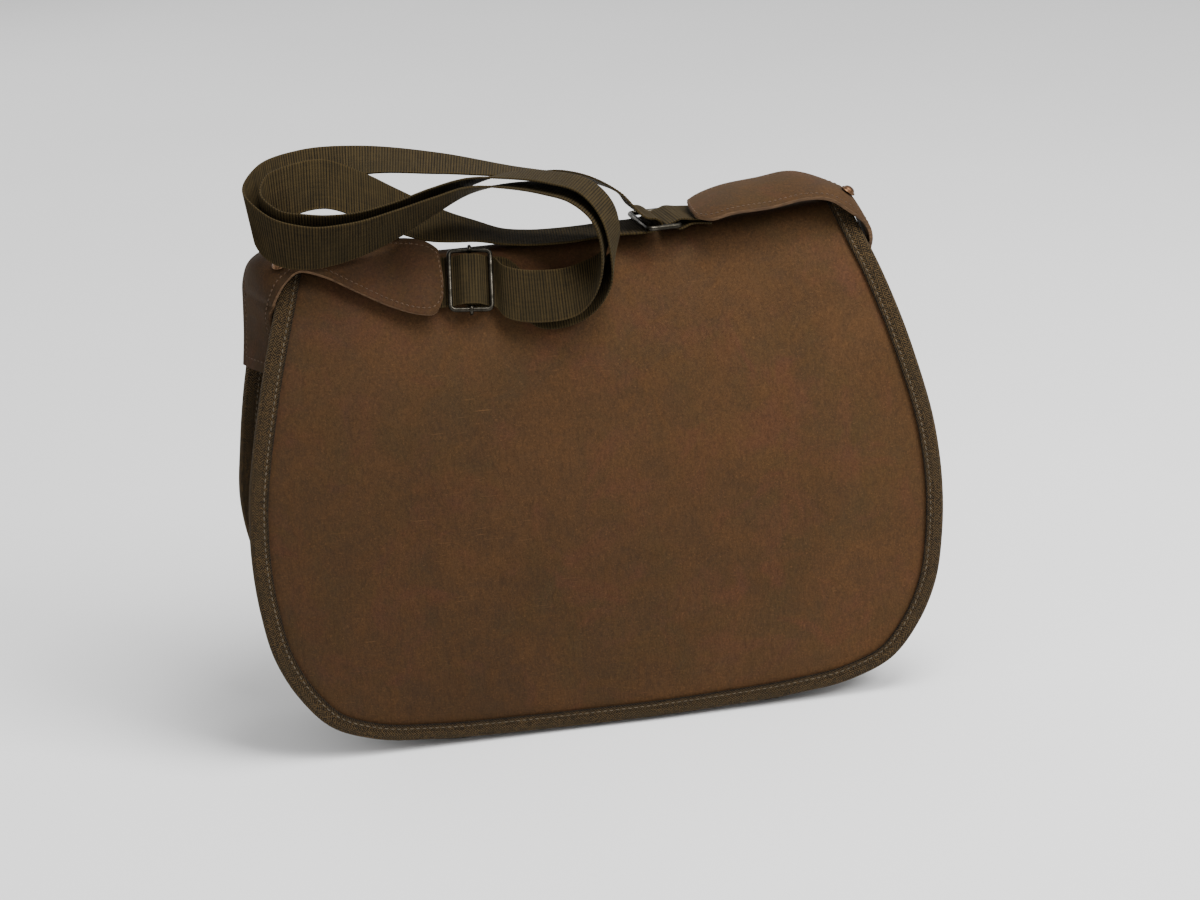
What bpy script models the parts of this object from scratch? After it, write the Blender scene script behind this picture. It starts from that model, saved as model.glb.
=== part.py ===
"""Hunting game bag: a leather shoulder bag with a full flap, standing on its base.

The bag faces -Y and its strap loops lie on top. +X is to the right and +Z is up. The origin is the middle of
the base, on the surface that the bag stands on. Sizes are in millimetres and turned into metres by MM.
"""
import math

import bmesh
import bpy
import numpy as np
from mathutils import Vector

MM = 0.001
GAP = 0.3                 # between pieces that touch

# Sheets
LEATHER = 2.4             # flap, back panel and tabs
LINING = 2.0              # front panel
CLOTH = 1.6               # gusset
TAPE = 1.2                # binding tape
TAPE_EASE = 0.3           # more room under the tape on the curved flap
TAPE_DEPTH = 11.0         # how far the binding reaches in from an edge
WEBBING_WIDTH = 30.0
WEBBING = 1.6             # its thickness

# Flap: its middle surface in side view, from the seam on the back panel to the free edge
FLAP_PROFILE = [
    # y, z
    (35.5, 249.0), (35.5, 265.0), (32.5, 278.5), (25.5, 287.0), (16.0, 287.7), (4.5, 276.0),
    (-6.5, 256.5), (-17.0, 228.0), (-28.0, 180.0), (-36.0, 120.0), (-40.5, 60.0), (-42.0, 2.2),
]
CREST_Y = 21.0            # the flap's highest line
RIDGE_RISE = 0.024        # the crest climbs to the right by this slope
RIDGE_SAG = 6.5           # and sags in its middle
RIDGE_HALF_WIDTH = 165.0
RIDGE_FADE = 4             # power of the height by which these fade out downward
FLAP_SWAY = 4.0           # the flap's top leans this far to the left
BELLY = 5.0               # how far the middle of the flap swells forward
BELLY_HALF_WIDTH = 200.0

# Flap outline: half width by distance down from the crest
FLAP_WIDTHS = [
    # down, half width
    (-47.0, 156.5), (-22.0, 158.5), (0.0, 162.0), (22.0, 168.0), (48.0, 176.5), (95.0, 190.0),
    (142.0, 200.0), (180.0, 202.5), (208.0, 201.0),
]
# and on the lower edge, by distance up from the free end
FLAP_END_WIDTHS = [
    # up, half width
    (65.0, 196.0), (40.0, 185.0), (19.0, 168.0), (8.0, 143.0), (3.0, 108.0), (0.8, 60.0),
]
# Stations down the flap's sides, close together over the crest, then even steps round the bottom
FLAP_SIDE_LEVELS = (-45, -31, -23, -17, -12, -7, -2, 3, 8, 13, 18, 25, 35, 52, 78, 110, 145, 180, 212, 242, 268)
FLAP_BOTTOM_STEPS = 22
FLAP_TAPE_START = 2       # the binding starts above the seam, at this station

# Body: outline of the back and front panels, from the top to the flat base
BACK_OUTLINE = [
    # z, half width
    (262.0, 181.5), (240.0, 184.5), (227.0, 187.5), (212.0, 191.5), (175.0, 199.5), (140.0, 204.5),
    (110.0, 202.0), (84.0, 194.5), (52.0, 180.0), (22.0, 156.0), (6.0, 129.0), (0.0, 98.0),
]
FRONT_OUTLINE = [
    # z, half width
    (235.0, 168.0), (215.0, 173.0), (175.0, 184.0), (140.0, 190.0), (105.0, 190.0), (75.0, 185.0),
    (45.0, 174.0), (19.0, 152.0), (5.0, 126.0), (0.0, 98.0),
]
BODY_SWAY = 7.0           # the body's top leans this far to the left
BODY_HEIGHT = 262.0
BODY_STEPS = 40           # even steps round the body's outlines
BODY_CORNER = 13          # the station where a side becomes the bottom
BACK_Y = 34.0             # outer face of the back panel
FRONT_PROFILE = [
    # z, y of the front panel's outer face
    (0.0, -36.5), (60.0, -35.0), (120.0, -30.5), (180.0, -22.0), (235.0, -8.0),
]
SEAM_INSET = 13.5         # from the bound edge to the gusset's web
FOLD_IN = 9.0             # the gusset folds inward this far at the top of the sides

# Tabs: strips over the top corners, from the patch on the bag's side to the free end
TAB_LEFT_ROWS = [
    # front x, y, z, middle x, y, z, back x, y, z
    (-176.0, 0.5, 226.0, -186.0, 12.0, 226.0, -194.0, 26.5, 226.0),
    (-175.0, 0.5, 245.0, -184.0, 12.0, 245.0, -191.5, 26.5, 245.0),
    (-176.0, 0.0, 262.0, -183.0, 12.0, 262.0, -190.0, 28.0, 262.0),
    (-172.5, -3.5, 271.5, -182.0, 11.0, 277.0, -188.5, 29.0, 276.0),
    (-168.5, -5.0, 278.5, -178.5, 10.5, 287.5, -184.0, 29.5, 286.0),
    (-165.0, -3.5, 282.0, -169.5, 11.0, 292.0, -174.5, 30.5, 291.5),
    (-158.0, -1.5, 286.5, -159.0, 13.0, 294.5, -161.0, 33.0, 295.0),
    (-145.0, -1.0, 282.5, -145.0, 16.5, 294.5, -145.0, 36.0, 297.0),
    (-127.0, -6.0, 273.0, -127.0, 11.0, 289.0, -127.0, 30.0, 297.0),
    (-106.0, -11.5, 262.5, -106.0, 4.0, 279.5, -106.0, 21.5, 293.5),
    (-91.0, -15.0, 258.0, -90.0, -1.7, 277.2, -90.0, 14.0, 293.5),
    (-84.0, -15.0, 257.5, -83.0, -2.2, 277.0, -84.0, 12.5, 291.5),
    (-79.0, -10.5, 265.5, -77.5, -2.6, 277.5, -78.5, 9.0, 287.5),
]
TAB_RIGHT_ROWS = [
    (164.5, 2.0, 226.0, 170.5, 7.5, 226.0, 176.0, 14.5, 226.0),
    (165.5, 2.0, 245.0, 169.5, 7.5, 245.0, 173.5, 14.5, 245.0),
    (170.5, 2.5, 262.0, 172.0, 8.0, 262.0, 174.0, 15.5, 262.0),
    (171.5, -1.0, 272.0, 169.5, 9.0, 276.5, 169.0, 21.5, 277.5),
    (167.5, -3.5, 281.5, 165.5, 11.0, 288.5, 165.0, 28.0, 287.5),
    (157.5, -4.0, 290.0, 160.5, 12.0, 295.0, 160.5, 31.0, 293.0),
    (148.0, -4.5, 297.0, 150.0, 12.0, 300.0, 150.5, 33.0, 298.7),
    (134.5, -5.0, 299.3, 134.5, 13.0, 304.2, 134.5, 35.0, 304.2),
    (112.0, -7.0, 297.0, 112.0, 13.0, 303.0, 112.0, 35.0, 302.5),
    (88.0, -8.0, 296.0, 88.0, 12.0, 300.6, 88.0, 34.0, 300.0),
    (77.0, -7.5, 293.8, 76.0, 12.0, 297.5, 77.0, 33.0, 297.0),
    (70.0, -1.0, 294.3, 68.0, 12.0, 295.9, 70.0, 27.0, 295.5),
]
TAB_STEPS = 20
RIVET_ROW = 5             # the rivet goes through this row
RIVET_LEFT_SHARE = 0.28   # how far back across the row
RIVET_RIGHT_SHARE = 0.5
RIVET_LEFT_LIFT = 0.6     # room for the tab's curve under the head
RIVET_RIGHT_LIFT = 0.1
RIVET_RADIUS = 4.2
RIVET_HEIGHT = 2.6

# Slider: lies on the flap's slope, measured from its middle: along X, up the slope, and out from it
SLIDER_X = -59.5
SLIDER_DOWN = 25.5                      # from the crest to its middle
SLIDER_REACH = 14.0                     # the slope is taken between this far up and down
SLIDER_TURN = math.radians(7.0)         # turned in its own plane
SLIDER_SIZE = (26.0, 38.0)
WIRE = 2.6                # diameter
FRAME_OUT = 6.9           # the frame's height above the flap's middle surface
BAR_OUT = 4.7
BAR_BEND = 1.2            # the bar's ends bend down this far inside the frame
BAR_WIRE = 2.2

# Ring at the right end
RING_MIDDLE = (48.0, 13.5, 291.0)
RING_ALONG = (0.98, 0.17, -0.04)        # from the strap's bar to the tab's bar
RING_SIZE = (22.0, 38.0)
RING_WIRE = 3.0
FOLD_SLACK = 2.5          # the strap's fold round the ring hangs this loose
FOLD_RISE = 3.0           # and its upper strand comes in this much higher
TAB_WEBBING_ENDS = [
    # from the ring's bar, height of the upper layer over the ring
    (20.0, 0.9), (8.0, 2.0),
]
TAB_WEBBING_APART = 2.8   # from the upper layer's middle to the lower one's


def unit(vector):
    vector = np.asarray(vector, float)
    return vector / np.linalg.norm(vector)


class Curve:
    """A smooth curve through rows of numbers, read by distance along its first columns."""

    def __init__(self, rows, place_columns=None, steps=24):
        rows = np.array(rows, float)
        place = rows[:, :place_columns] if place_columns else rows
        knots = np.r_[0.0, np.cumsum(np.linalg.norm(np.diff(place, axis=0), axis=1))]
        slopes = np.diff(rows, axis=0) / np.diff(knots)[:, None]
        gaps = np.diff(knots)[:, None]
        middle = (slopes[:-1] * gaps[1:] + slopes[1:] * gaps[:-1]) / (gaps[1:] + gaps[:-1])
        tangents = np.vstack([1.5 * slopes[0] - 0.5 * middle[0], middle, 1.5 * slopes[-1] - 0.5 * middle[-1]])
        points = []
        for i in range(len(rows) - 1):
            for t in np.arange(steps) / steps:
                points.append(
                    (2 * t**3 - 3 * t**2 + 1) * rows[i] + (t**3 - 2 * t**2 + t) * gaps[i] * tangents[i]
                    + (3 * t**2 - 2 * t**3) * rows[i + 1] + (t**3 - t**2) * gaps[i] * tangents[i + 1])
        self.points = np.array(points + [rows[-1]])
        lengths = np.linalg.norm(np.diff(self.points[:, :place_columns], axis=0), axis=1)
        self.distances = np.r_[0.0, np.cumsum(lengths)]
        self.length = self.distances[-1]

    def at(self, distance):
        columns = range(self.points.shape[1])
        return np.array([np.interp(distance, self.distances, self.points[:, k]) for k in columns]).T


PROFILE = Curve(FLAP_PROFILE)
CREST = PROFILE.distances[np.argmin(abs(PROFILE.points[:, 0] - CREST_Y))]
FLAP_DROP = PROFILE.length - CREST


def flap_middle(x, down):
    """Point of the flap's middle surface, at x and at a distance down from the crest."""
    y, z = PROFILE.at(CREST + down)
    swell = BELLY * max(0.0, 1 - (x / BELLY_HALF_WIDTH)**2) * math.sin(math.pi * min(max(down / FLAP_DROP, 0), 1))
    sag = RIDGE_SAG * (1 - (x / RIDGE_HALF_WIDTH)**2)
    fade = (z / FLAP_DROP)**RIDGE_FADE
    return np.array([x - FLAP_SWAY * fade, y - swell, z + (RIDGE_RISE * x - sag) * fade])


def flap_point(x, down, out=0.0):
    """Point at a height out from the flap's middle surface."""
    here = flap_middle(x, down)
    across = flap_middle(x + 0.5, down) - flap_middle(x - 0.5, down)
    down = min(max(down, 0.5 - CREST), FLAP_DROP - 0.5)
    along = flap_middle(x, down + 0.5) - flap_middle(x, down - 0.5)
    return here + out * unit(np.cross(along, across))


class Outline:
    """A mirrored edge in a plane, from the top right round the bottom to the top left."""

    def __init__(self, rows, inward=1.0, sway=0.0):
        half = [(width, level) for level, width in rows]
        other = [(-width, level) for width, level in reversed(half) if width > 0]
        self.curve = Curve(half + other)
        self.length = self.curve.length
        self.inward = inward
        self.sway = sway

    def place(self, distance):
        x, level = self.curve.at(min(max(distance, 0.0), self.length))
        if self.sway:
            level = max(level, 0.0)
            x -= self.sway * (level / BODY_HEIGHT)**2
        return np.array([x, level])

    def at(self, distance, inset=0.0):
        along = unit(self.place(distance + 1.0) - self.place(distance - 1.0))
        return self.place(distance) + inset * self.inward * np.array([along[1], -along[0]])


def flap_outline():
    rows = FLAP_WIDTHS + [(FLAP_DROP - up, width) for up, width in FLAP_END_WIDTHS] + [(FLAP_DROP, 0.0)]
    return Outline(rows, inward=-1.0)


def flap_stations(outline):
    """Distances round the flap's outline: at set levels down the sides, then evenly round the bottom."""
    half = outline.curve.points[:len(outline.curve.points) // 2]
    reached = outline.curve.distances[:len(half)]
    side = list(np.interp(FLAP_SIDE_LEVELS, half[:, 1], reached))
    bottom = list(np.linspace(side[-1], outline.length - side[-1], FLAP_BOTTOM_STEPS + 1))
    return side + bottom[1:-1] + [outline.length - d for d in reversed(side)]


def body_stations(outline):
    return list(np.linspace(0, outline.length, BODY_STEPS + 1))


def patch(outline, inset, stations, corner):
    """Grid over an outline's inside: two sides, a bottom between the corner stations and a straight top."""
    edge = np.array([outline.at(d, inset) for d in stations])
    right = edge[:corner + 1]
    left = edge[::-1][:corner + 1]
    bottom = edge[corner:len(edge) - corner][::-1]
    down = shares(right)
    across = shares(bottom)
    top = [left[0] + (right[0] - left[0]) * u for u in across]
    grid = []
    for i, v in enumerate(down):
        row = []
        for j, u in enumerate(across):
            edges = (1 - v) * top[j] + v * bottom[j] + (1 - u) * left[i] + u * right[i]
            corners = (1 - v) * top[j] + v * ((1 - u) * left[-1] + u * right[-1])
            row.append(edges - corners)
        grid.append(row)
    return grid


def shares(points):
    """Share of the way along a row of points, at each of them."""
    lengths = np.r_[0.0, np.cumsum(np.linalg.norm(np.diff(points, axis=0), axis=1))]
    return lengths / lengths[-1]


def front_y(z):
    heights = [row[0] for row in FRONT_PROFILE]
    return float(np.interp(z, heights, [row[1] for row in FRONT_PROFILE]))


def material(name, colour, roughness, metallic=0.0):
    made = bpy.data.materials.new(name)
    made.use_nodes = True
    shader = made.node_tree.nodes["Principled BSDF"]
    shader.inputs["Base Color"].default_value = (*colour, 1.0)
    shader.inputs["Roughness"].default_value = roughness
    shader.inputs["Metallic"].default_value = metallic
    made.diffuse_color = (*colour, 1.0)
    return made


def finish_object(name, mesh, look):
    mesh.materials.append(look)
    made = bpy.data.objects.new(name, mesh)
    PARTS.objects.link(made)
    mesh.shade_smooth()
    mesh.set_sharp_from_angle(angle=math.radians(40))
    return made


def sheet(name, grid, thickness, look):
    """An open surface through a grid of points, thickened by Solidify."""
    grid = np.array(grid) * MM
    form = bmesh.new()
    verts = [[form.verts.new(point) for point in row] for row in grid]
    for upper, lower in zip(verts, verts[1:]):
        for a, b, c, d in zip(upper, upper[1:], lower[1:], lower):
            form.faces.new((a, b, c, d))
    mesh = bpy.data.meshes.new(name)
    form.to_mesh(mesh)
    form.free()
    made = finish_object(name, mesh, look)
    solidify = made.modifiers.new("thickness", "SOLIDIFY")
    solidify.thickness = thickness * MM
    solidify.offset = 0.0
    solidify.use_even_offset = True
    solidify.use_quality_normals = True
    return made


def wire(name, points, diameter, look, closed=False):
    """A wire through points."""
    curve = bpy.data.curves.new(name, "CURVE")
    curve.dimensions = "3D"
    curve.bevel_depth = diameter / 2 * MM
    curve.bevel_resolution = 2
    curve.use_fill_caps = True
    spline = curve.splines.new("POLY")
    spline.points.add(len(points) - 1)
    for point, place in zip(spline.points, points):
        point.co = (*(np.array(place) * MM), 1.0)
    spline.use_cyclic_u = closed
    curve.materials.append(look)
    made = bpy.data.objects.new(name, curve)
    PARTS.objects.link(made)
    return made


def as_mesh(curve_object):
    """The mesh object of a wire, with its caps welded on."""
    name, data = curve_object.name, curve_object.data
    graph = bpy.context.evaluated_depsgraph_get()
    mesh = bpy.data.meshes.new_from_object(curve_object.evaluated_get(graph))
    form = bmesh.new()
    form.from_mesh(mesh)
    bmesh.ops.remove_doubles(form, verts=form.verts, dist=0.00001)
    form.to_mesh(mesh)
    form.free()
    bpy.data.objects.remove(curve_object)
    bpy.data.curves.remove(data)
    made = bpy.data.objects.new(name, mesh)
    PARTS.objects.link(made)
    return made


def rounded_loop(size, corner, arc_steps=4):
    """Points of a rectangle with round corners, centred on zero."""
    half = np.array(size) / 2 - corner
    points = []
    for quarter, (sx, sy) in enumerate(((1, 1), (-1, 1), (-1, -1), (1, -1))):
        for step in range(arc_steps + 1):
            angle = (quarter + step / arc_steps) * math.pi / 2
            points.append((sx * half[0] + corner * math.cos(angle), sy * half[1] + corner * math.sin(angle)))
    return points


def build_flap():
    outline = flap_outline()
    stations = flap_stations(outline)
    corner = len(FLAP_SIDE_LEVELS) - 1
    places = patch(outline, TAPE + 2 * GAP, stations, corner)
    sheet("flap", [[flap_point(x, down) for x, down in row] for row in places], LEATHER, NUBUCK)
    legs = LEATHER / 2 + GAP + TAPE_EASE + TAPE / 2
    section = [(TAPE_DEPTH, legs), (TAPE, legs), (TAPE / 2, 0.0), (TAPE, -legs), (TAPE_DEPTH, -legs)]
    rows = []
    for d in stations[FLAP_TAPE_START:len(stations) - FLAP_TAPE_START]:
        rows.append([flap_point(*outline.at(d, inset), out) for inset, out in section])
    sheet("flap_binding", rows, TAPE, TAPE_LOOK)


def build_panel(name, outline, face_y, thickness, inward, look):
    """A body panel, whose outer face is at face_y(z)."""
    grid = patch(outline, TAPE + 2 * GAP, body_stations(outline), BODY_CORNER)
    middle = inward * thickness / 2
    sheet(name, [[(x, face_y(z) + middle, z) for x, z in row] for row in grid], thickness, look)


def build_seam_binding(name, outline, face_y, inward, stack):
    """Tape round a panel's edge and the gusset's flange; stack is their thickness."""
    outer = -(GAP + TAPE / 2)
    inner = stack + GAP + TAPE / 2
    middle = (outer + inner) / 2
    section = [(TAPE_DEPTH, outer), (TAPE, outer), (TAPE / 2, middle), (TAPE, inner), (TAPE_DEPTH, inner)]
    rows = []
    for d in body_stations(outline):
        row = []
        for inset, depth in section:
            x, z = outline.at(d, inset)
            row.append((x, face_y(z) + inward * depth, z))
        rows.append(row)
    sheet(name, rows, TAPE, TAPE_LOOK)


WEB_STATIONS = (0.0, 0.12, 0.35, 0.5, 0.65, 0.88, 1.0)
SIDE_FOLD = (0.0, 0.34, 0.9, 1.0, 0.9, 0.34, 0.0)
BASE_FOLD = (0.0, 0.0, 1.0, 1.0, 1.0, 0.0, 0.0)


class Gusset:
    """The strip between the two panels, read by how far round it a place is and how far back."""

    def __init__(self):
        self.back = Outline(BACK_OUTLINE, sway=BODY_SWAY)
        self.front = Outline(FRONT_OUTLINE, sway=BODY_SWAY)
        self.depth = CLOTH / 2 + GAP

    def web(self, share, back, out=0.0):
        """Point of the web: share goes from the right top to the left top, back from front to back."""
        front_x, front_z = self.front.at(share * self.front.length, SEAM_INSET)
        back_x, back_z = self.back.at(share * self.back.length, SEAM_INSET)
        near = np.array([front_x, front_y(front_z) + LINING + self.depth, front_z])
        far = np.array([back_x, BACK_Y - LEATHER - self.depth, back_z])
        low = max(0.0, 1.0 - max(0.0, max(near[2], far[2]) - SEAM_INSET - 2.0) / 60.0)
        side = np.interp(back, WEB_STATIONS, SIDE_FOLD)
        base = np.interp(back, WEB_STATIONS, BASE_FOLD)
        high = min(max((far[2] - 90.0) / 110.0, 0.0), 1.0)
        inward = FOLD_IN * side * high - (SEAM_INSET - CLOTH / 2) * base * low
        x, z = self.back.at(share * self.back.length, SEAM_INSET + 1.0)
        direction = np.array([x - back_x, 0.0, z - back_z])
        return near + (far - near) * back + direction * (inward - out)

    def row(self, share):
        front = self.front.at(share * self.front.length, TAPE + 2 * GAP)
        back = self.back.at(share * self.back.length, TAPE + 2 * GAP)
        near = (front[0], front_y(front[1]) + LINING + self.depth, front[1])
        far = (back[0], BACK_Y - LEATHER - self.depth, back[1])
        return [near, *[self.web(share, back) for back in WEB_STATIONS], far]


def build_body():
    gusset = Gusset()
    build_panel("back_panel", gusset.back, lambda z: BACK_Y, LEATHER, -1, NUBUCK)
    build_panel("front_panel", gusset.front, front_y, LINING, 1, NUBUCK)
    build_seam_binding("back_binding", gusset.back, lambda z: BACK_Y, -1, LEATHER + GAP + CLOTH)
    build_seam_binding("front_binding", gusset.front, front_y, 1, LINING + GAP + CLOTH)
    sheet("gusset", [gusset.row(share) for share in np.linspace(0, 1, BODY_STEPS + 1)], CLOTH, CLOTH_LOOK)
    return gusset


def tab_point(row, t):
    """A point of the parabola through the row's three points."""
    front, middle, back = np.reshape(row, (3, 3))
    return front * (1 - t) * (1 - 2 * t) + middle * 4 * t * (1 - t) + back * t * (2 * t - 1)


def tab_grid(rows):
    edges = Curve(rows)
    grid = []
    for row in edges.at(np.linspace(0, edges.length, TAB_STEPS + 1)):
        grid.append([tab_point(row, t) for t in np.linspace(0, 1, 7)])
    return grid


def build_tab(name, rows, rivet_name, rivet_share, rivet_lift):
    sheet(name, tab_grid(rows), LEATHER, NUBUCK)
    front, back = np.array(rows[RIVET_ROW][:3]), np.array(rows[RIVET_ROW][6:])
    before = np.array(rows[RIVET_ROW - 1][3:6])
    after = np.array(rows[RIVET_ROW + 1][3:6])
    normal = unit(np.cross(after - before, back - front))
    if normal[2] < 0:
        normal = -normal
    build_rivet(rivet_name, tab_point(rows[RIVET_ROW], rivet_share), normal, rivet_lift)


def build_rivet(name, place, normal, lift):
    """A domed rivet head on the leather, turned round its axis."""
    steps = 5
    base = LEATHER / 2 + GAP + lift
    rows = [(RIVET_RADIUS * math.cos(a), RIVET_HEIGHT * math.sin(a)) for a in
            np.linspace(0, math.pi / 2, steps)]
    form = bmesh.new()
    profile = [form.verts.new((radius * MM, 0.0, (base + height) * MM)) for radius, height in rows[::-1]]
    foot = form.verts.new((0.0, 0.0, base * MM))
    chain = profile + [foot]
    for a, b in zip(chain, chain[1:]):
        form.edges.new((a, b))
    mesh = bpy.data.meshes.new(name)
    form.to_mesh(mesh)
    form.free()
    made = finish_object(name, mesh, BRASS)
    screw = made.modifiers.new("turn", "SCREW")
    screw.steps = screw.render_steps = 14
    screw.use_merge_vertices = True
    screw.merge_threshold = 0.00001
    made.rotation_mode = "QUATERNION"
    made.rotation_quaternion = Vector(normal).to_track_quat("Z", "Y")
    made.location = np.array(place) * MM


SLIDER_MIDDLE = flap_middle(SLIDER_X, SLIDER_DOWN)
SLOPE_UP = unit(flap_middle(SLIDER_X, SLIDER_DOWN - SLIDER_REACH)
                - flap_middle(SLIDER_X, SLIDER_DOWN + SLIDER_REACH))
SLOPE_ALONG = unit(flap_middle(SLIDER_X + SLIDER_REACH, SLIDER_DOWN)
                   - flap_middle(SLIDER_X - SLIDER_REACH, SLIDER_DOWN))
SLIDER_OUT = unit(np.cross(SLOPE_ALONG, SLOPE_UP))
SLIDER_UP = math.cos(SLIDER_TURN) * SLOPE_UP + math.sin(SLIDER_TURN) * np.cross(SLOPE_UP, SLIDER_OUT)
SLIDER_ALONG = np.cross(SLIDER_UP, SLIDER_OUT)


def slider_place(along, up, out):
    return SLIDER_MIDDLE + SLIDER_ALONG * along + SLIDER_UP * up + SLIDER_OUT * out


def union(target, other):
    """Join another mesh to a target for good."""
    joint = target.modifiers.new("join", "BOOLEAN")
    joint.operation = "UNION"
    joint.object = other
    graph = bpy.context.evaluated_depsgraph_get()
    mesh = bpy.data.meshes.new_from_object(target.evaluated_get(graph))
    target.modifiers.clear()
    target.data = mesh
    bpy.data.objects.remove(other)


def build_slider():
    size = (SLIDER_SIZE[0] - WIRE, SLIDER_SIZE[1] - WIRE)
    frame = wire("slider", [slider_place(x, y, FRAME_OUT) for x, y in rounded_loop(size, 3.0)], WIRE, NICKEL, True)
    reach = size[1] / 2
    bend = reach - BAR_BEND
    rows = [(reach, FRAME_OUT), (bend, BAR_OUT), (-bend, BAR_OUT), (-reach, FRAME_OUT)]
    bar = wire("slider_bar", [slider_place(0, up, out) for up, out in rows], BAR_WIRE, NICKEL)
    frame = as_mesh(frame)
    union(frame, as_mesh(bar))


RING_X = unit(RING_ALONG)
RING_Y = unit(np.cross((0, 0, 1), RING_X))
RING_Z = np.cross(RING_X, RING_Y)


def ring_place(along, across, up):
    return np.array(RING_MIDDLE) + RING_X * along + RING_Y * across + RING_Z * up


def build_ring():
    size = (RING_SIZE[0] - RING_WIRE, RING_SIZE[1] - RING_WIRE)
    wire("ring", [ring_place(x, y, 0) for x, y in rounded_loop(size, 2.2)], RING_WIRE, NICKEL, True)


def ribbon(name, rows, look, longest=8.0, sharpest=14.0):
    """A flat band through rows of centre and width direction."""
    route = Curve([(*centre, *unit(width)) for centre, width in rows], place_columns=3)
    fine = route.at(np.linspace(0, route.length, int(route.length * 2)))
    kept = [0]
    for i in range(1, len(fine) - 1):
        run = fine[i, :3] - fine[kept[-1], :3]
        if kept[-1] + 1 == i:
            heading = run
        bend = math.degrees(np.arccos(np.clip(np.dot(unit(fine[i + 1, :3] - fine[i, :3]), unit(heading)), -1, 1)))
        if np.linalg.norm(run) > longest or bend > sharpest:
            kept.append(i)
            heading = fine[min(i + 1, len(fine) - 1), :3] - fine[i, :3]
    kept.append(len(fine) - 1)
    grid = []
    for row in fine[kept]:
        half = unit(row[3:]) * WEBBING_WIDTH / 2
        grid.append([row[:3] - half, row[:3] + half])
    return sheet(name, grid, WEBBING, look)


# Strap: places and width directions of the free loops, from the slider round to the ring and back
FIRST_LAYER = [
    # x, y, z, width x, y, z
    (-44, -12, 266, 0.06, 0.45, 0.89),
    (-23, -18, 262.5, 0.02, 0.45, 0.89),
    (-3, -19, 265, 0.02, 0.66, 0.75),
    (10, -17, 274.5, 0.15, 0.93, 0.33),
    (15, -16, 290, 0.32, 0.95, 0.00),
    (12, -12, 305, 0.37, 0.93, -0.03),
    (1, -4, 314.5, 0.34, 0.94, -0.05),
    (-14, 4, 318.5, 0.30, 0.95, -0.07),
    (-34, 10, 320.5, 0.20, 0.96, -0.18),
    (-57, 8, 321, 0.10, 0.92, -0.38),
    (-79, 0, 316, 0.03, 0.82, -0.57),
    (-100, -5, 309.5, 0.02, 0.68, -0.73),
    (-128, -9, 303, -0.05, 0.50, -0.86),
    (-152, -9, 302, -0.05, 0.35, -0.93),
    (-171, -3, 307, 0.05, 0.10, -0.99),
    (-181.5, 7.5, 318, 0.12, -0.35, -0.93),
    (-174, 24, 328.5, 0.05, -0.66, -0.75),
    (-149, 44, 332, 0.00, -0.78, -0.62),
    (-117, 49, 333.5, -0.08, -0.94, -0.33),
    (-71, 50, 327, -0.12, -0.98, -0.14),
    (-28, 46, 319, -0.13, -0.97, 0.10),
    (0, 39, 317, -0.12, -0.93, 0.33),
    (17, 29, 313, -0.12, -0.93, 0.34),
    (29, 19, 307.5, -0.05, -0.97, 0.22),
]
SECOND_LAYER = [
    (24, 17, 287.2, -0.06, -1.00, 0.02),
    (-5, 17, 286.2, -0.06, -1.00, 0.00),
    (-25, 19, 286.4, -0.08, -0.99, 0.00),
    (-40, 24, 287.3, -0.08, -0.99, -0.02),
    (-54, 26, 291.3, -0.08, -0.99, -0.12),
    (-68, 25.8, 295, -0.08, -0.95, -0.30),
    (-82, 27.5, 299.5, -0.08, -0.85, -0.52),
    (-98, 26, 308, -0.08, -0.74, -0.67),
    (-118, 21, 320.8, -0.08, -0.66, -0.75),
    (-139, 19, 330, -0.08, -0.60, -0.80),
    (-157, 15.5, 328.8, -0.04, -0.50, -0.86),
    (-170, 12, 324, 0.02, -0.30, -0.95),
    (-174, 5.5, 317, 0.00, -0.05, -1.00),
    (-167, -0.5, 310.5, -0.02, 0.20, -0.98),
    (-150, -2, 307, -0.05, 0.38, -0.92),
    (-127, -2, 306.5, -0.03, 0.50, -0.86),
    (-102, 1, 312, 0.02, 0.68, -0.73),
    (-80, 6, 319, 0.03, 0.80, -0.60),
    (-57, 12, 324.5, 0.10, 0.91, -0.40),
    (-34, 14, 325.5, 0.22, 0.96, -0.16),
    (-10, 5, 324, 0.32, 0.94, -0.07),
    (7, -3, 319, 0.36, 0.93, -0.05),
    (17, -11, 307, 0.38, 0.92, -0.03),
    (20, -15, 290, 0.33, 0.94, 0.00),
    (17, -13, 272.5, 0.15, 0.92, 0.36),
    (2, -13, 260.5, 0.02, 0.62, 0.78),
]
LAST_ON_FLAP = (-23.0, 42.0)            # x and distance down, where the last strand meets the flap


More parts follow.
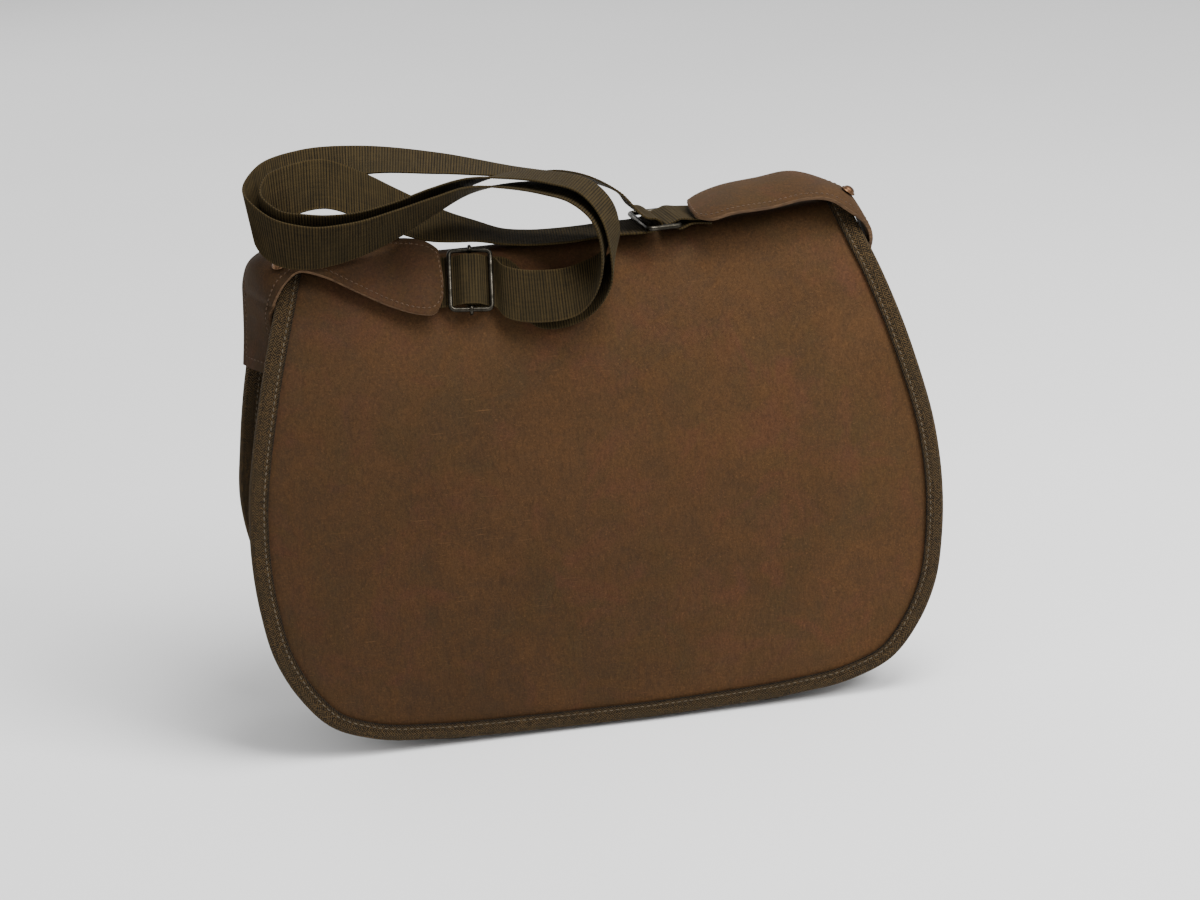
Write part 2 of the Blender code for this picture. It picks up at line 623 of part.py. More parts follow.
def strap_rows():
    """Every station of the strap: under the left tab, over the slider's bar, the loops, and the centre bar."""
    on_flap = LEATHER / 2 + GAP + WEBBING / 2
    under_frame = FRAME_OUT - WIRE / 2 - GAP - WEBBING / 2
    turn = BAR_OUT - on_flap
    over_bar = BAR_OUT + turn + WEBBING + 2 * GAP
    edge = SLIDER_SIZE[0] / 2 - WIRE / 2
    rows = []
    for along, out in ((-27, on_flap), (-20, on_flap + 0.2), (-15, under_frame - 1.0), (-edge - 0.7, under_frame),
                       (-9.3, under_frame + 0.5), (-4.2, over_bar - 0.4), (0, over_bar),
                       (4.2, over_bar - 0.4), (9.3, under_frame + 0.5), (edge + 0.7, under_frame)):
        rows.append((slider_place(along, 0, out), SLIDER_UP))
    rows += [(row[:3], row[3:]) for row in FIRST_LAYER]
    fold = RING_WIRE / 2 + GAP + WEBBING / 2 + 0.1
    left_bar = -(RING_SIZE[0] - RING_WIRE) / 2
    for angle in (90, 50, 15, -15, -50, -90):
        along = left_bar + (fold + FOLD_SLACK) * math.cos(math.radians(angle))
        height = (fold + FOLD_RISE * (angle > 0)) * math.sin(math.radians(angle))
        rows.append((ring_place(along, 0, height), -RING_Y))
    rows += [(row[:3], row[3:]) for row in SECOND_LAYER]
    x, down = LAST_ON_FLAP
    slope = flap_middle(x, down - 5) - flap_middle(x, down + 5)
    rows.append((flap_point(x, down, on_flap + 1.6), slope))
    for along, out in ((edge + 6, on_flap + 0.8), (edge, on_flap + 0.3), (4, on_flap)):
        rows.append((slider_place(along, 0, out), SLIDER_UP))
    for angle in (-90, -135, 180, 135, 90):
        place = slider_place(turn * math.cos(math.radians(angle)), 0, BAR_OUT + turn * math.sin(math.radians(angle)))
        rows.append((place, SLIDER_UP))
    rows.append((slider_place(4, 0, BAR_OUT + turn), SLIDER_UP))
    return rows


def build_webbing():
    ribbon("strap", strap_rows(), WEBBING_LOOK)
    bar = (RING_SIZE[0] - RING_WIRE) / 2
    fold = RING_WIRE / 2 + GAP + WEBBING / 2 + 0.1
    rows = [(ring_place(bar + along, 0, height), RING_Y) for along, height in TAB_WEBBING_ENDS]
    for angle in (90, 135, 180, 225, 270):
        place = ring_place(bar + fold * math.cos(math.radians(angle)), 0, fold * math.sin(math.radians(angle)))
        rows.append((place, RING_Y))
    rows += [(ring_place(bar + along, 0, height - TAB_WEBBING_APART), RING_Y)
             for along, height in reversed(TAB_WEBBING_ENDS)]
    ribbon("tab_webbing", rows, WEBBING_LOOK)


for old in list(bpy.data.objects):
    bpy.data.objects.remove(old)
PARTS = bpy.data.collections.new("hunting_game_bag")
bpy.context.scene.collection.children.link(PARTS)

NUBUCK = material("nubuck", (0.105, 0.055, 0.026), 0.85)
CLOTH_LOOK = material("gusset_cloth", (0.035, 0.040, 0.030), 0.9)
TAPE_LOOK = material("binding_tape", (0.075, 0.048, 0.024), 0.85)
WEBBING_LOOK = material("webbing", (0.060, 0.045, 0.022), 0.8)
NICKEL = material("dark_nickel", (0.22, 0.19, 0.15), 0.4, 1.0)
BRASS = material("old_brass", (0.30, 0.18, 0.09), 0.45, 1.0)

build_flap()
body = build_body()
build_tab("tab_left", TAB_LEFT_ROWS, "rivet_left", RIVET_LEFT_SHARE, RIVET_LEFT_LIFT)
build_tab("tab_right", TAB_RIGHT_ROWS, "rivet_right", RIVET_RIGHT_SHARE, RIVET_RIGHT_LIFT)
build_slider()
build_ring()
build_webbing()
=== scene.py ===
"""Looks for the hunting game bag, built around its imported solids.

Lengths in the tables are millimetres in the frame of the part: the bag faces -Y and +Z is up.
"""
import math

import bpy
import numpy as np
from mathutils import Matrix, Vector


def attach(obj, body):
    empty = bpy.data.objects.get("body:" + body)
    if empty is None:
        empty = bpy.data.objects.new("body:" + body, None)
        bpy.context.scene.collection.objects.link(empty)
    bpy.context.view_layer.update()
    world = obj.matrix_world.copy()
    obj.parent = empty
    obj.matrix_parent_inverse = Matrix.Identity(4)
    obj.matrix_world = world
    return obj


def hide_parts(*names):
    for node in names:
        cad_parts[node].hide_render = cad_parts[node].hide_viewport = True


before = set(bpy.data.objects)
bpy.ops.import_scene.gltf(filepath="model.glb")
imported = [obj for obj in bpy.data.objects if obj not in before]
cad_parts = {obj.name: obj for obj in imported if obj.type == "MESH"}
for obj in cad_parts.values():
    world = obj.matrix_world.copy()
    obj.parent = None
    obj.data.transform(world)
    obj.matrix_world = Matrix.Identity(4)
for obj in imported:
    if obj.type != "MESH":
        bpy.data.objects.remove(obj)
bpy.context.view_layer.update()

MM = 0.001
GAP = 0.3

# Sheets
LEATHER = 2.4
LINING = 2.0
CLOTH = 1.6
TAPE = 1.2
TAPE_EASE = 0.3
TAPE_DEPTH = 11.0
WEBBING_WIDTH = 30.0
WEBBING = 1.6

# Flap
FLAP_PROFILE = [
    # y, z
    (35.5, 249), (35.5, 265), (32.5, 278.5), (25.5, 287), (16, 287.7), (4.5, 276),
    (-6.5, 256.5), (-17, 228), (-28, 180), (-36, 120), (-40.5, 60), (-42, 2.2),
]
CREST_Y = 21.0
RIDGE_RISE = 0.024
RIDGE_SAG = 6.5
RIDGE_HALF_WIDTH = 165.0
RIDGE_FADE = 4
FLAP_SWAY = 4.0
BELLY = 5.0
BELLY_HALF_WIDTH = 200.0
FLAP_WIDTHS = [
    # down from the crest, half width
    (-47, 156.5), (-22, 158.5), (0, 162), (22, 168), (48, 176.5), (95, 190),
    (142, 200), (180, 202.5), (208, 201),
]
FLAP_END_WIDTHS = [
    # up from the free end, half width
    (65, 196), (40, 185), (19, 168), (8, 143), (3, 108), (0.8, 60),
]
FLAP_TOP = -45.0
FLAP_SIDE_END = 268.0
FLAP_CELL = 3.0
FLAP_TAPE_START = -21.0
HEM_DOWN = -39.0
HEM_HALF_WIDTH = 154.0

# Body
BACK_OUTLINE = [
    # z, half width
    (262, 181.5), (240, 184.5), (227, 187.5), (212, 191.5), (175, 199.5), (140, 204.5),
    (110, 202), (84, 194.5), (52, 180), (22, 156), (6, 129), (0, 98),
]
FRONT_OUTLINE = [
    # z, half width
    (235, 168), (215, 173), (175, 184), (140, 190), (105, 190), (75, 185),
    (45, 174), (19, 152), (5, 126), (0, 98),
]
BODY_SWAY = 7.0
BODY_HEIGHT = 262.0
BODY_STEPS = 200
BODY_CORNER = 65
BACK_Y = 34.0
FRONT_PROFILE = [
    # z, y
    (0, -36.5), (60, -35), (120, -30.5), (180, -22), (235, -8),
]
SEAM_INSET = 13.5
GUSSET_STEPS = 300
FOLD_IN = 9.0
FOLD_LEVELS = (90.0, 200.0)   # heights between which the fold grows
BASE_FADE = 60.0              # height in which the base's shape fades out
WEB_FOLD = [
    # share of the way from front to back, share of the fold
    (0, 0), (0.12, 0.34), (0.35, 0.9), (0.5, 1), (0.65, 0.9), (0.88, 0.34), (1, 0),
]
WEB_BASE = [
    # the same way, share of the base's drop
    (0, 0), (0.12, 0), (0.35, 1), (0.65, 1), (0.88, 0), (1, 0),
]
EDGE_INSET = TAPE + 2 * GAP   # from a binding's outer edge to the leather's

# Tabs
TAB_LEFT_ROWS = [
    # front x, y, z, middle x, y, z, back x, y, z
    (-176, 0.5, 226, -186, 12, 226, -194, 26.5, 226),
    (-175, 0.5, 245, -184, 12, 245, -191.5, 26.5, 245),
    (-176, 0, 262, -183, 12, 262, -190, 28, 262),
    (-172.5, -3.5, 271.5, -182, 11, 277, -188.5, 29, 276),
    (-168.5, -5, 278.5, -178.5, 10.5, 287.5, -184, 29.5, 286),
    (-165, -3.5, 282, -169.5, 11, 292, -174.5, 30.5, 291.5),
    (-158, -1.5, 286.5, -159, 13, 294.5, -161, 33, 295),
    (-145, -1, 282.5, -145, 16.5, 294.5, -145, 36, 297),
    (-127, -6, 273, -127, 11, 289, -127, 30, 297),
    (-106, -11.5, 262.5, -106, 4, 279.5, -106, 21.5, 293.5),
    (-91, -15, 258, -90, -1.7, 277.2, -90, 14, 293.5),
    (-84, -15, 257.5, -83, -2.2, 277, -84, 12.5, 291.5),
    (-79, -10.5, 265.5, -77.5, -2.6, 277.5, -78.5, 9, 287.5),
]
TAB_RIGHT_ROWS = [
    (164.5, 2, 226, 170.5, 7.5, 226, 176, 14.5, 226),
    (165.5, 2, 245, 169.5, 7.5, 245, 173.5, 14.5, 245),
    (170.5, 2.5, 262, 172, 8, 262, 174, 15.5, 262),
    (171.5, -1, 272, 169.5, 9, 276.5, 169, 21.5, 277.5),
    (167.5, -3.5, 281.5, 165.5, 11, 288.5, 165, 28, 287.5),
    (157.5, -4, 290, 160.5, 12, 295, 160.5, 31, 293),
    (148, -4.5, 297, 150, 12, 300, 150.5, 33, 298.7),
    (134.5, -5, 299.3, 134.5, 13, 304.2, 134.5, 35, 304.2),
    (112, -7, 297, 112, 13, 303, 112, 35, 302.5),
    (88, -8, 296, 88, 12, 300.6, 88, 34, 300),
    (77, -7.5, 293.8, 76, 12, 297.5, 77, 33, 297),
    (70, -1, 294.3, 68, 12, 295.9, 70, 27, 295.5),
]
TAB_STEPS = 110
TAB_COLUMNS = 33
CREASE_AT = 27.5
CREASE_DEPTH = 1.3
CREASE_WIDTH = 1.6
GROOVE_DEPTH = 0.22     # along the stitches
GROOVE_WIDTH = 0.9
RIVET_ROW = 5

# Slider and ring
SLIDER_X = -59.5
SLIDER_DOWN = 25.5
SLIDER_REACH = 14.0
SLIDER_TURN = math.radians(7.0)
SLIDER_SIZE = (26.0, 38.0)
WIRE = 2.6
FRAME_OUT = 6.9
BAR_OUT = 4.7
BAR_BEND = 1.2
BAR_WIRE = 2.2
SLIDER_CORNER = 3.0
RING_CORNER = 2.2
RING_MIDDLE = (48.0, 13.5, 291.0)
RING_ALONG = (0.98, 0.17, -0.04)
RING_SIZE = (22.0, 38.0)
RING_WIRE = 3.0
FOLD_SLACK = 6.4        # the strap's fold in the ring hangs this loose
TAB_FOLD_SLACK = 4.8    # and the short webbing's fold this loose
FOLD_RISE = 3.0         # the strap's upper strand comes in this much higher
TAB_WEBBING_ENDS = [
    # from the ring's bar, height of the upper layer over the ring
    (20, 0.9), (8, 2),
]
TAB_WEBBING_APART = 2.8   # from the upper layer's middle to the lower one's

# Strap: places and width directions of the free loops
FIRST_LAYER = [
    # x, y, z, width x, y, z
    (-44, -12, 266, 0.06, 0.45, 0.89),
    (-23, -18, 262.5, 0.02, 0.45, 0.89),
    (-3, -19, 265, 0.02, 0.66, 0.75),
    (10, -17, 274.5, 0.15, 0.93, 0.33),
    (15, -16, 290, 0.32, 0.95, 0),
    (12, -12, 305, 0.37, 0.93, -0.03),
    (1, -4, 314.5, 0.34, 0.94, -0.05),
    (-14, 4, 318.5, 0.3, 0.95, -0.07),
    (-34, 10, 320.5, 0.2, 0.96, -0.18),
    (-57, 8, 321, 0.1, 0.92, -0.38),
    (-79, 0, 316, 0.03, 0.82, -0.57),
    (-100, -5, 309.5, 0.02, 0.68, -0.73),
    (-128, -9, 303, -0.05, 0.5, -0.86),
    (-152, -9, 302, -0.05, 0.35, -0.93),
    (-171, -3, 307, 0.05, 0.1, -0.99),
    (-181.5, 7.5, 318, 0.12, -0.35, -0.93),
    (-174, 24, 328.5, 0.05, -0.66, -0.75),
    (-149, 44, 332, 0, -0.78, -0.62),
    (-117, 49, 333.5, -0.08, -0.94, -0.33),
    (-71, 50, 327, -0.12, -0.98, -0.14),
    (-28, 46, 319, -0.13, -0.97, 0.1),
    (0, 39, 317, -0.12, -0.93, 0.33),
    (17, 29, 313, -0.12, -0.93, 0.34),
    (29, 19, 307.5, -0.05, -0.97, 0.22),
]
SECOND_LAYER = [
    (24, 17, 287.2, -0.06, -1, 0.02),
    (-5, 17, 286.2, -0.06, -1, 0),
    (-25, 19, 286.4, -0.08, -0.99, 0),
    (-40, 24, 287.3, -0.08, -0.99, -0.02),
    (-54, 26, 291.3, -0.08, -0.99, -0.12),
    (-68, 25.8, 295, -0.08, -0.95, -0.3),
    (-82, 27.5, 299.5, -0.08, -0.85, -0.52),
    (-98, 26, 308, -0.08, -0.74, -0.67),
    (-118, 21, 320.8, -0.08, -0.66, -0.75),
    (-139, 19, 330, -0.08, -0.6, -0.8),
    (-157, 15.5, 328.8, -0.04, -0.5, -0.86),
    (-170, 12, 324, 0.02, -0.3, -0.95),
    (-174, 5.5, 317, 0, -0.05, -1),
    (-167, -0.5, 310.5, -0.02, 0.2, -0.98),
    (-150, -2, 307, -0.05, 0.38, -0.92),
    (-127, -2, 306.5, -0.03, 0.5, -0.86),
    (-102, 1, 312, 0.02, 0.68, -0.73),
    (-80, 6, 319, 0.03, 0.8, -0.6),
    (-57, 12, 324.5, 0.1, 0.91, -0.4),
    (-34, 14, 325.5, 0.22, 0.96, -0.16),
    (-10, 5, 324, 0.32, 0.94, -0.07),
    (7, -3, 319, 0.36, 0.93, -0.05),
    (17, -11, 307, 0.38, 0.92, -0.03),
    (20, -15, 290, 0.33, 0.94, 0),
    (17, -13, 272.5, 0.15, 0.92, 0.36),
    (2, -13, 260.5, 0.02, 0.62, 0.78),
]
LAST_ON_FLAP = (-23.0, 42.0)

# Folded tape: inset from its outer edge, and rise over its seat
FLAP_TAPE_LEG = [
    (TAPE_DEPTH, -0.05), (10.4, 0.05), (9.4, 0.02), (8.6, -0.12), (7.8, 0.02), (6.6, 0.16), (5, 0.22),
    (3.6, 0.12), (2.6, 0),
]
SEAM_TAPE_LEG = [
    (TAPE_DEPTH, 0), (10.2, 0.08), (9.2, 0.04), (8.4, -0.1), (7.6, 0.04), (6, 0.16), (4.2, 0.14),
    (2.6, 0),
]
FLAP_SEAM = 8.6
BODY_SEAM = 8.4
TAPE_TURN = 2.6         # where the turn over the edge starts
TAPE_TURN_DEPTH = 2.0
TAPE_STEP = 1.6
SEAM_STEPS = 560

# Webbing's section: shares of half its width and half its thickness
WEBBING_TOP = [
    (-1, 0), (-0.985, 0.62), (-0.95, 0.86), (-0.8, 0.9), (-0.4, 0.9), (0, 0.9), (0.4, 0.9),
    (0.8, 0.9), (0.95, 0.86), (0.985, 0.62),
]
RIB = 1.6
RIB_DEPTH = 0.3
RIB_ROWS = 4

# Stitches, and the profile of one: share of half its length, share of its width, rise
STITCH_PROFILE = [
    (-1, 0.28, -0.6), (-0.72, 0.85, -0.05), (-0.25, 1, 0.25), (0.25, 1, 0.25), (0.72, 0.85, -0.05),
    (1, 0.28, -0.6),
]
STITCH_PITCH = 3.7
STITCH_LENGTH = 2.5
STITCH_WIDTH = 0.8
TAB_STITCH_PITCH = 3.1
TAB_STITCH_LENGTH = 2.1
TAB_STITCH_WIDTH = 0.75
TAB_STITCH_EDGE = 3.6
TAB_STITCH_START = 4

# Rivet's head: radius, height
RIVET_PROFILE = [
    (0, 3.3), (1.2, 3.2), (2.3, 2.8), (3.1, 2.1), (3.45, 1.5), (3.5, 1.2), (3.9, 1.15), (4.25, 0.95),
    (4.4, 0.6), (4.3, 0.25), (4, 0.05), (0, 0.05),
]

# Camera, floor and lights in metres, and the photograph's scale at the place that the camera aims at
AIM = (0.0, 0.0, 0.15)
CAMERA_AZIMUTH = math.radians(7.0)
CAMERA_ELEVATION = math.radians(22.0)
CAMERA_ROLL = math.radians(-3.9)
CAMERA_DISTANCE = 1.5
PHOTO_SIZE = (1200, 900)
AIM_PIXEL = (591.2, 464.4)
PIXELS_PER_MM = 1.7
FLOOR = 6.0
DAYLIGHT = 0.72
LIGHTS = [
    # name, place, size, power
    ("key", (1.3, -1, 1.7), (0.9, 0.9), 44),
    ("fill", (-1.6, -0.8, 0.9), (1.4, 1.2), 4),
    ("top", (0.45, -0.35, 2), (0.8, 0.8), 46),
    ("rear", (-0.9, 1.9, 1.1), (1.4, 1.2), 9),
]


def unit(vector):
    vector = np.asarray(vector, float)
    return vector / np.linalg.norm(vector, axis=-1, keepdims=True)


def lengths_along(points):
    return np.r_[0.0, np.cumsum(np.linalg.norm(np.diff(points, axis=0), axis=1))]


class Curve:
    """A smooth curve through rows of numbers, read by distance along its first columns."""

    def __init__(self, rows, place_columns=None, steps=24):
        rows = np.array(rows, float)
        knots = lengths_along(rows[:, :place_columns])
        slopes = np.diff(rows, axis=0) / np.diff(knots)[:, None]
        gaps = np.diff(knots)[:, None]
        middle = (slopes[:-1] * gaps[1:] + slopes[1:] * gaps[:-1]) / (gaps[1:] + gaps[:-1])
        first, last = [1.5 * slopes[end] - 0.5 * middle[end] for end in (0, -1)]
        tangents = np.vstack([first, middle, last])
        points = []
        for i in range(len(rows) - 1):
            for t in np.arange(steps) / steps:
                points.append(
                    (2 * t**3 - 3 * t**2 + 1) * rows[i] + (t**3 - 2 * t**2 + t) * gaps[i] * tangents[i]
                    + (3 * t**2 - 2 * t**3) * rows[i + 1] + (t**3 - t**2) * gaps[i] * tangents[i + 1])
        self.points = np.array(points + [rows[-1]])
        self.distances = lengths_along(self.points[:, :place_columns])
        self.length = self.distances[-1]

    def at(self, distance):
        values = [np.interp(distance, self.distances, column) for column in self.points.T]
        return np.stack(values, axis=-1)


def smooth_rows(values, passes):
    """Rows of a path, each drawn towards the mean of its neighbours."""
    values = np.array(values, float)
    for _ in range(passes):
        values[1:-1] = 0.5 * values[1:-1] + 0.25 * (values[:-2] + values[2:])
    return values


PROFILE = Curve(FLAP_PROFILE)
CREST = PROFILE.distances[np.argmin(abs(PROFILE.points[:, 0] - CREST_Y))]
FLAP_DROP = PROFILE.length - CREST


def relief(x, down):
    """The soft unevenness of the leather, in millimetres out from the plain surface."""
    wave = np.sin(x / 31.0 + 1.3 * np.sin(down / 47.0)) * np.sin(down / 38.0 + 0.7)
    wave = wave + 0.6 * np.sin((x + 0.7 * down) / 19.0 + 2.0) * np.sin((x - down) / 55.0)
    return 0.35 * wave * np.clip((down - 20.0) / 60.0, 0.0, 1.0)


def flap_middle(x, down):
    """Points of the flap's middle surface."""
    x, down = np.asarray(x, float), np.asarray(down, float)
    place = PROFILE.at(CREST + down)
    y, z = place[..., 0], place[..., 1]
    swell = BELLY * np.clip(1 - (x / BELLY_HALF_WIDTH)**2, 0, None)
    swell = swell * np.sin(math.pi * np.clip(down / FLAP_DROP, 0, 1))
    sag = RIDGE_SAG * (1 - (x / RIDGE_HALF_WIDTH)**2)
    fade = (z / FLAP_DROP)**RIDGE_FADE
    return np.stack([x - FLAP_SWAY * fade, y - swell, z + (RIDGE_RISE * x - sag) * fade], axis=-1)


def flap_out(x, down):
    """Directions out of the flap's surface."""
    down = np.clip(down, 0.5 - CREST, FLAP_DROP - 0.5)
    across = flap_middle(x + 0.5, down) - flap_middle(x - 0.5, down)
    along = flap_middle(x, down + 0.5) - flap_middle(x, down - 0.5)
    return unit(np.cross(along, across))


def flap_point(x, down, out=0.0):
    x, down = np.asarray(x, float), np.asarray(down, float)
    height = np.asarray(out + relief(x, down))
    return flap_middle(x, down) + height[..., None] * flap_out(x, down)


class Outline:
    """A mirrored edge in a plane, from the top right round the bottom to the top left."""

    def __init__(self, rows, inward=1.0, sway=0.0):
        half = [(width, level) for level, width in rows]
        other = [(-width, level) for width, level in reversed(half) if width > 0]
        self.curve = Curve(half + other)
        self.length = self.curve.length
        self.inward = inward
        self.sway = sway

    def place(self, distance):
        place = self.curve.at(np.clip(distance, 0.0, self.length))
        if self.sway:
            place[..., 1] = np.maximum(place[..., 1], 0.0)
            place[..., 0] -= self.sway * (place[..., 1] / BODY_HEIGHT)**2
        return place

    def at(self, distance, inset=0.0):
        distance = np.asarray(distance, float)
        along = unit(self.place(distance + 1.0) - self.place(distance - 1.0))
        side = np.stack([along[..., 1], -along[..., 0]], axis=-1)
        return self.place(distance) + np.asarray(inset)[..., None] * self.inward * side


def shares(points):
    lengths = lengths_along(points)
    return lengths / lengths[-1]


def patch(outline, inset, stations, corner):
    """Grid over an outline's inside: two sides, a bottom between the corners and a straight top."""
    edge = outline.at(stations, inset)
    right = edge[:corner + 1]
    left = edge[::-1][:corner + 1]
    bottom = edge[corner:len(edge) - corner][::-1]
    v = shares(right)[:, None, None]
    u = shares(bottom)[None, :, None]
    top = left[0] + (right[0] - left[0]) * u
    edges = (1 - v) * top + v * bottom[None] + (1 - u) * left[:, None] + u * right[:, None]
    return edges - ((1 - v) * top + v * ((1 - u) * left[-1] + u * right[-1]))


FRONT_CURVE = Curve(FRONT_PROFILE)


def front_face(z):
    """The front panel's outer face, smooth between the table's rows."""
    return np.interp(z, FRONT_CURVE.points[:, 0], FRONT_CURVE.points[:, 1])


class Look:
    """A material whose nodes are added by short calls."""

    def __init__(self, name, roughness=0.8, metallic=0, sheen=0, sheen_tint=(1, 1, 1), specular=0.5):
        self.material = bpy.data.materials.new(name)
        self.material.use_nodes = True
        self.tree = self.material.node_tree
        self.shader = self.tree.nodes["Principled BSDF"]
        values = {
            "Roughness": roughness, "Metallic": metallic, "Sheen Weight": sheen, "Sheen Roughness": 0.45,
            "Sheen Tint": (*sheen_tint, 1), "Specular IOR Level": specular}
        for key, value in values.items():
            self.shader.inputs[key].default_value = value
        coordinates = self.tree.nodes.new("ShaderNodeTexCoord")
        self.place = coordinates.outputs["Object"]
        self.uv = coordinates.outputs["UV"]

    def node(self, kind, inputs, settings=None, output=0):
        made = self.tree.nodes.new(kind)
        for name, value in (settings or {}).items():
            setattr(made, name, value)
        for key, value in inputs.items():
            if isinstance(value, bpy.types.NodeSocket):
                self.tree.links.new(value, made.inputs[key])
            elif value is not None:
                made.inputs[key].default_value = value
        return made.outputs[output]

    def math(self, operation, a, b=None):
        return self.node("ShaderNodeMath", {0: a, 1: b}, {"operation": operation})

    def plus(self, a, b):
        return self.math("ADD", a, b)

    def times(self, a, b):
        return self.math("MULTIPLY", a, b)

    def noise(self, scale, detail=3, roughness=0.5, distortion=0, stretch=None, turn=(0, 0, 0), on=None):
        """Noise over the piece, or on the given vector. With a stretch it is longer one way."""
        vector = on or self.place
        if stretch:
            vector = self.node("ShaderNodeMapping", {"Vector": vector, "Scale": stretch, "Rotation": turn})
        return self.node("ShaderNodeTexNoise", {
            "Vector": vector, "Scale": scale, "Detail": detail, "Roughness": roughness,
            "Distortion": distortion})

    def fit(self, value, low, high, new_low=0, new_high=1):
        return self.node("ShaderNodeMapRange", {
            "Value": value, "From Min": low, "From Max": high, "To Min": new_low, "To Max": new_high})

    def mix(self, share, a, b):
        a, b = [value if isinstance(value, bpy.types.NodeSocket) else (*value, 1) for value in (a, b)]
        return self.node("ShaderNodeMix", {0: share, 6: a, 7: b}, {"data_type": "RGBA"}, output=2)

    def scale(self, colour, share):
        return self.node("ShaderNodeVectorMath", {0: colour, "Scale": share}, {"operation": "SCALE"})

    def axis(self, vector, index):
        return self.node("ShaderNodeSeparateXYZ", {0: vector}, output=index)

    def woven(self):
        """Millimetres along and across a woven piece."""
        return [self.times(self.axis(self.uv, index), 1000) for index in (0, 1)]

    def finish(self, colour, roughness=None, heights=()):
        """Joins the colour, the roughness and the bumps, each given as height, strength and distance."""
        self.tree.links.new(colour, self.shader.inputs["Base Color"])
        if roughness is not None:
            self.tree.links.new(roughness, self.shader.inputs["Roughness"])
        normal = None
        for height, strength, distance in heights:
            normal = self.node("ShaderNodeBump", {
                "Height": height, "Strength": strength, "Distance": distance, "Normal": normal})
        if normal is not None:
            self.tree.links.new(normal, self.shader.inputs["Normal"])
        return self.material


def nubuck_look(name, light, dark, olive, scratches=1):
    look = Look(name, 0.85, sheen=0.03, sheen_tint=(0.75, 0.55, 0.38), specular=0.16)
    broad = look.noise(13, 3, 0.5, distortion=0.6)
    clouds = look.noise(48, 5, 0.62, distortion=1)
    blend = look.plus(look.times(broad, 0.4), look.times(clouds, 0.6))
    colour = look.mix(look.fit(blend, 0.38, 0.62), dark, light)
    hue = look.noise(26, 4, 0.6, 0.7, (1, 1, 0.8), (0.3, 0.2, 0.5))
    colour = look.mix(look.fit(hue, 0.46, 0.72, 0, 0.7), colour, olive)
    red = look.noise(31, 4, 0.6, 0.7, (1, 1, 1), (0.9, 0.4, 0.1))
    ruddy = [light[0] * 1.04, light[1] * 0.85, light[2] * 1.1]
    colour = look.mix(look.fit(red, 0.52, 0.68, 0, 0.55), colour, ruddy)
    fibres = look.noise(1, 3, 0.65, stretch=(620, 620, 170))
    pores = look.noise(780, 2, 0.6)
    nap = look.noise(1900, 2, 0.6)
    grain = look.plus(look.times(pores, 0.4), look.times(nap, 0.25))
    grain = look.plus(grain, look.times(fibres, 0.35))
    colour = look.scale(colour, look.fit(grain, 0.38, 0.62, 0.76, 1.26))
    fuzz = look.fit(look.noise(850, 2, 0.7), 0.6, 0.72, 0, 0.35)
    colour = look.mix(fuzz, colour, [min(1, value * 2.2) for value in light])
    lines = []
    for turn, density in (((0, 0.5, 0), 0.7), ((0, -0.9, 0), 0.705), ((0, 1.35, 0), 0.7)):
        streak = look.noise(1, 2, 0.45, 0.3, (45, 60, 1100), turn)
        lines.append(look.fit(streak, density, density + 0.05))
    marks = look.math("MAXIMUM", look.math("MAXIMUM", lines[0], lines[1]), lines[2])
    worn = look.fit(look.noise(21, 2, 0.5), 0.5, 0.66)
    left = look.fit(look.axis(look.place, 0), 0.04, -0.12, 0.25, 1)
    marks = look.times(look.times(marks, worn), left)
    pale = [value * 2.4 for value in light]
    colour = look.mix(look.times(marks, 0.7 * scratches), colour, pale)
    # Painted light: the colour is scaled from 0.82 at the bag's left to 1.18 at its right, brighter on the
    # side that faces the lamps.
    colour = look.scale(colour, look.fit(look.axis(look.place, 0), -0.2, 0.2, 0.82, 1.18))
    roughness = look.fit(clouds, 0.3, 0.7, 0.78, 0.95)
    heights = [(grain, 0.45, 0.0005), (clouds, 0.25, 0.0014), (marks, 0.12, 0.0002)]
    return look.finish(colour, roughness, heights)


def edge_look():
    """The cut edge of the leather: paler, with layers."""
    look = Look("leather_edge", 0.8, specular=0.3)
    layers = look.noise(1, 3, 0.6, stretch=(160, 160, 900))
    spots = look.noise(90, 3, 0.5)
    colour = look.mix(look.fit(layers, 0.35, 0.65), (0.058, 0.03, 0.0125), (0.11, 0.06, 0.027))
    colour = look.mix(look.fit(spots, 0.5, 0.7, 0, 0.4), colour, (0.048, 0.026, 0.013))
    return look.finish(colour, None, [(layers, 0.3, 0.0004)])


def tape_look(name, light, dark):
    """Herringbone tape: slanting ribs that turn over between narrow columns, with painted shade along its
    inner, sewn edges, where it meets the leather.
    """
    look = Look(name, 0.9, sheen=0.05, sheen_tint=(0.8, 0.65, 0.45), specular=0.15)
    along, across = look.woven()
    zigzag = look.math("PINGPONG", across, 2.1)
    slant = look.plus(along, look.times(zigzag, 1.2))
    rib = look.math("SINE", look.times(slant, 3.9))
    yarn = look.math("SINE", look.times(look.math("SUBTRACT", along, zigzag), 9))
    column = look.fit(look.math("PINGPONG", across, 2.1), 0, 0.35, -0.35, 0)
    fuzz = look.noise(900, 3, 0.65)
    tone = look.noise(60, 4, 0.6)
    height = look.plus(look.times(rib, 0.5), look.times(yarn, 0.16))
    share = look.fit(height, -0.45, 0.55, -0.1, 0.8)
    share = look.plus(share, look.fit(fuzz, 0.36, 0.64, -0.38, 0.5))
    share = look.plus(share, column)
    colour = look.mix(look.node("ShaderNodeClamp", {0: share}), dark, light)
    colour = look.mix(look.fit(tone, 0.45, 0.7, 0, 0.5), colour, (0.027, 0.0185, 0.0078))
    # Painted shade: the colour darkens to 0.3 of itself within 1.7 mm of the tape's inner edges, where it
    # meets the leather.
    colour = look.scale(colour, look.fit(across, 0.2, 1.7, 0.3, 1))
    return look.finish(colour, None, [(height, 0.7, 0.0006), (fuzz, 0.4, 0.0004)])


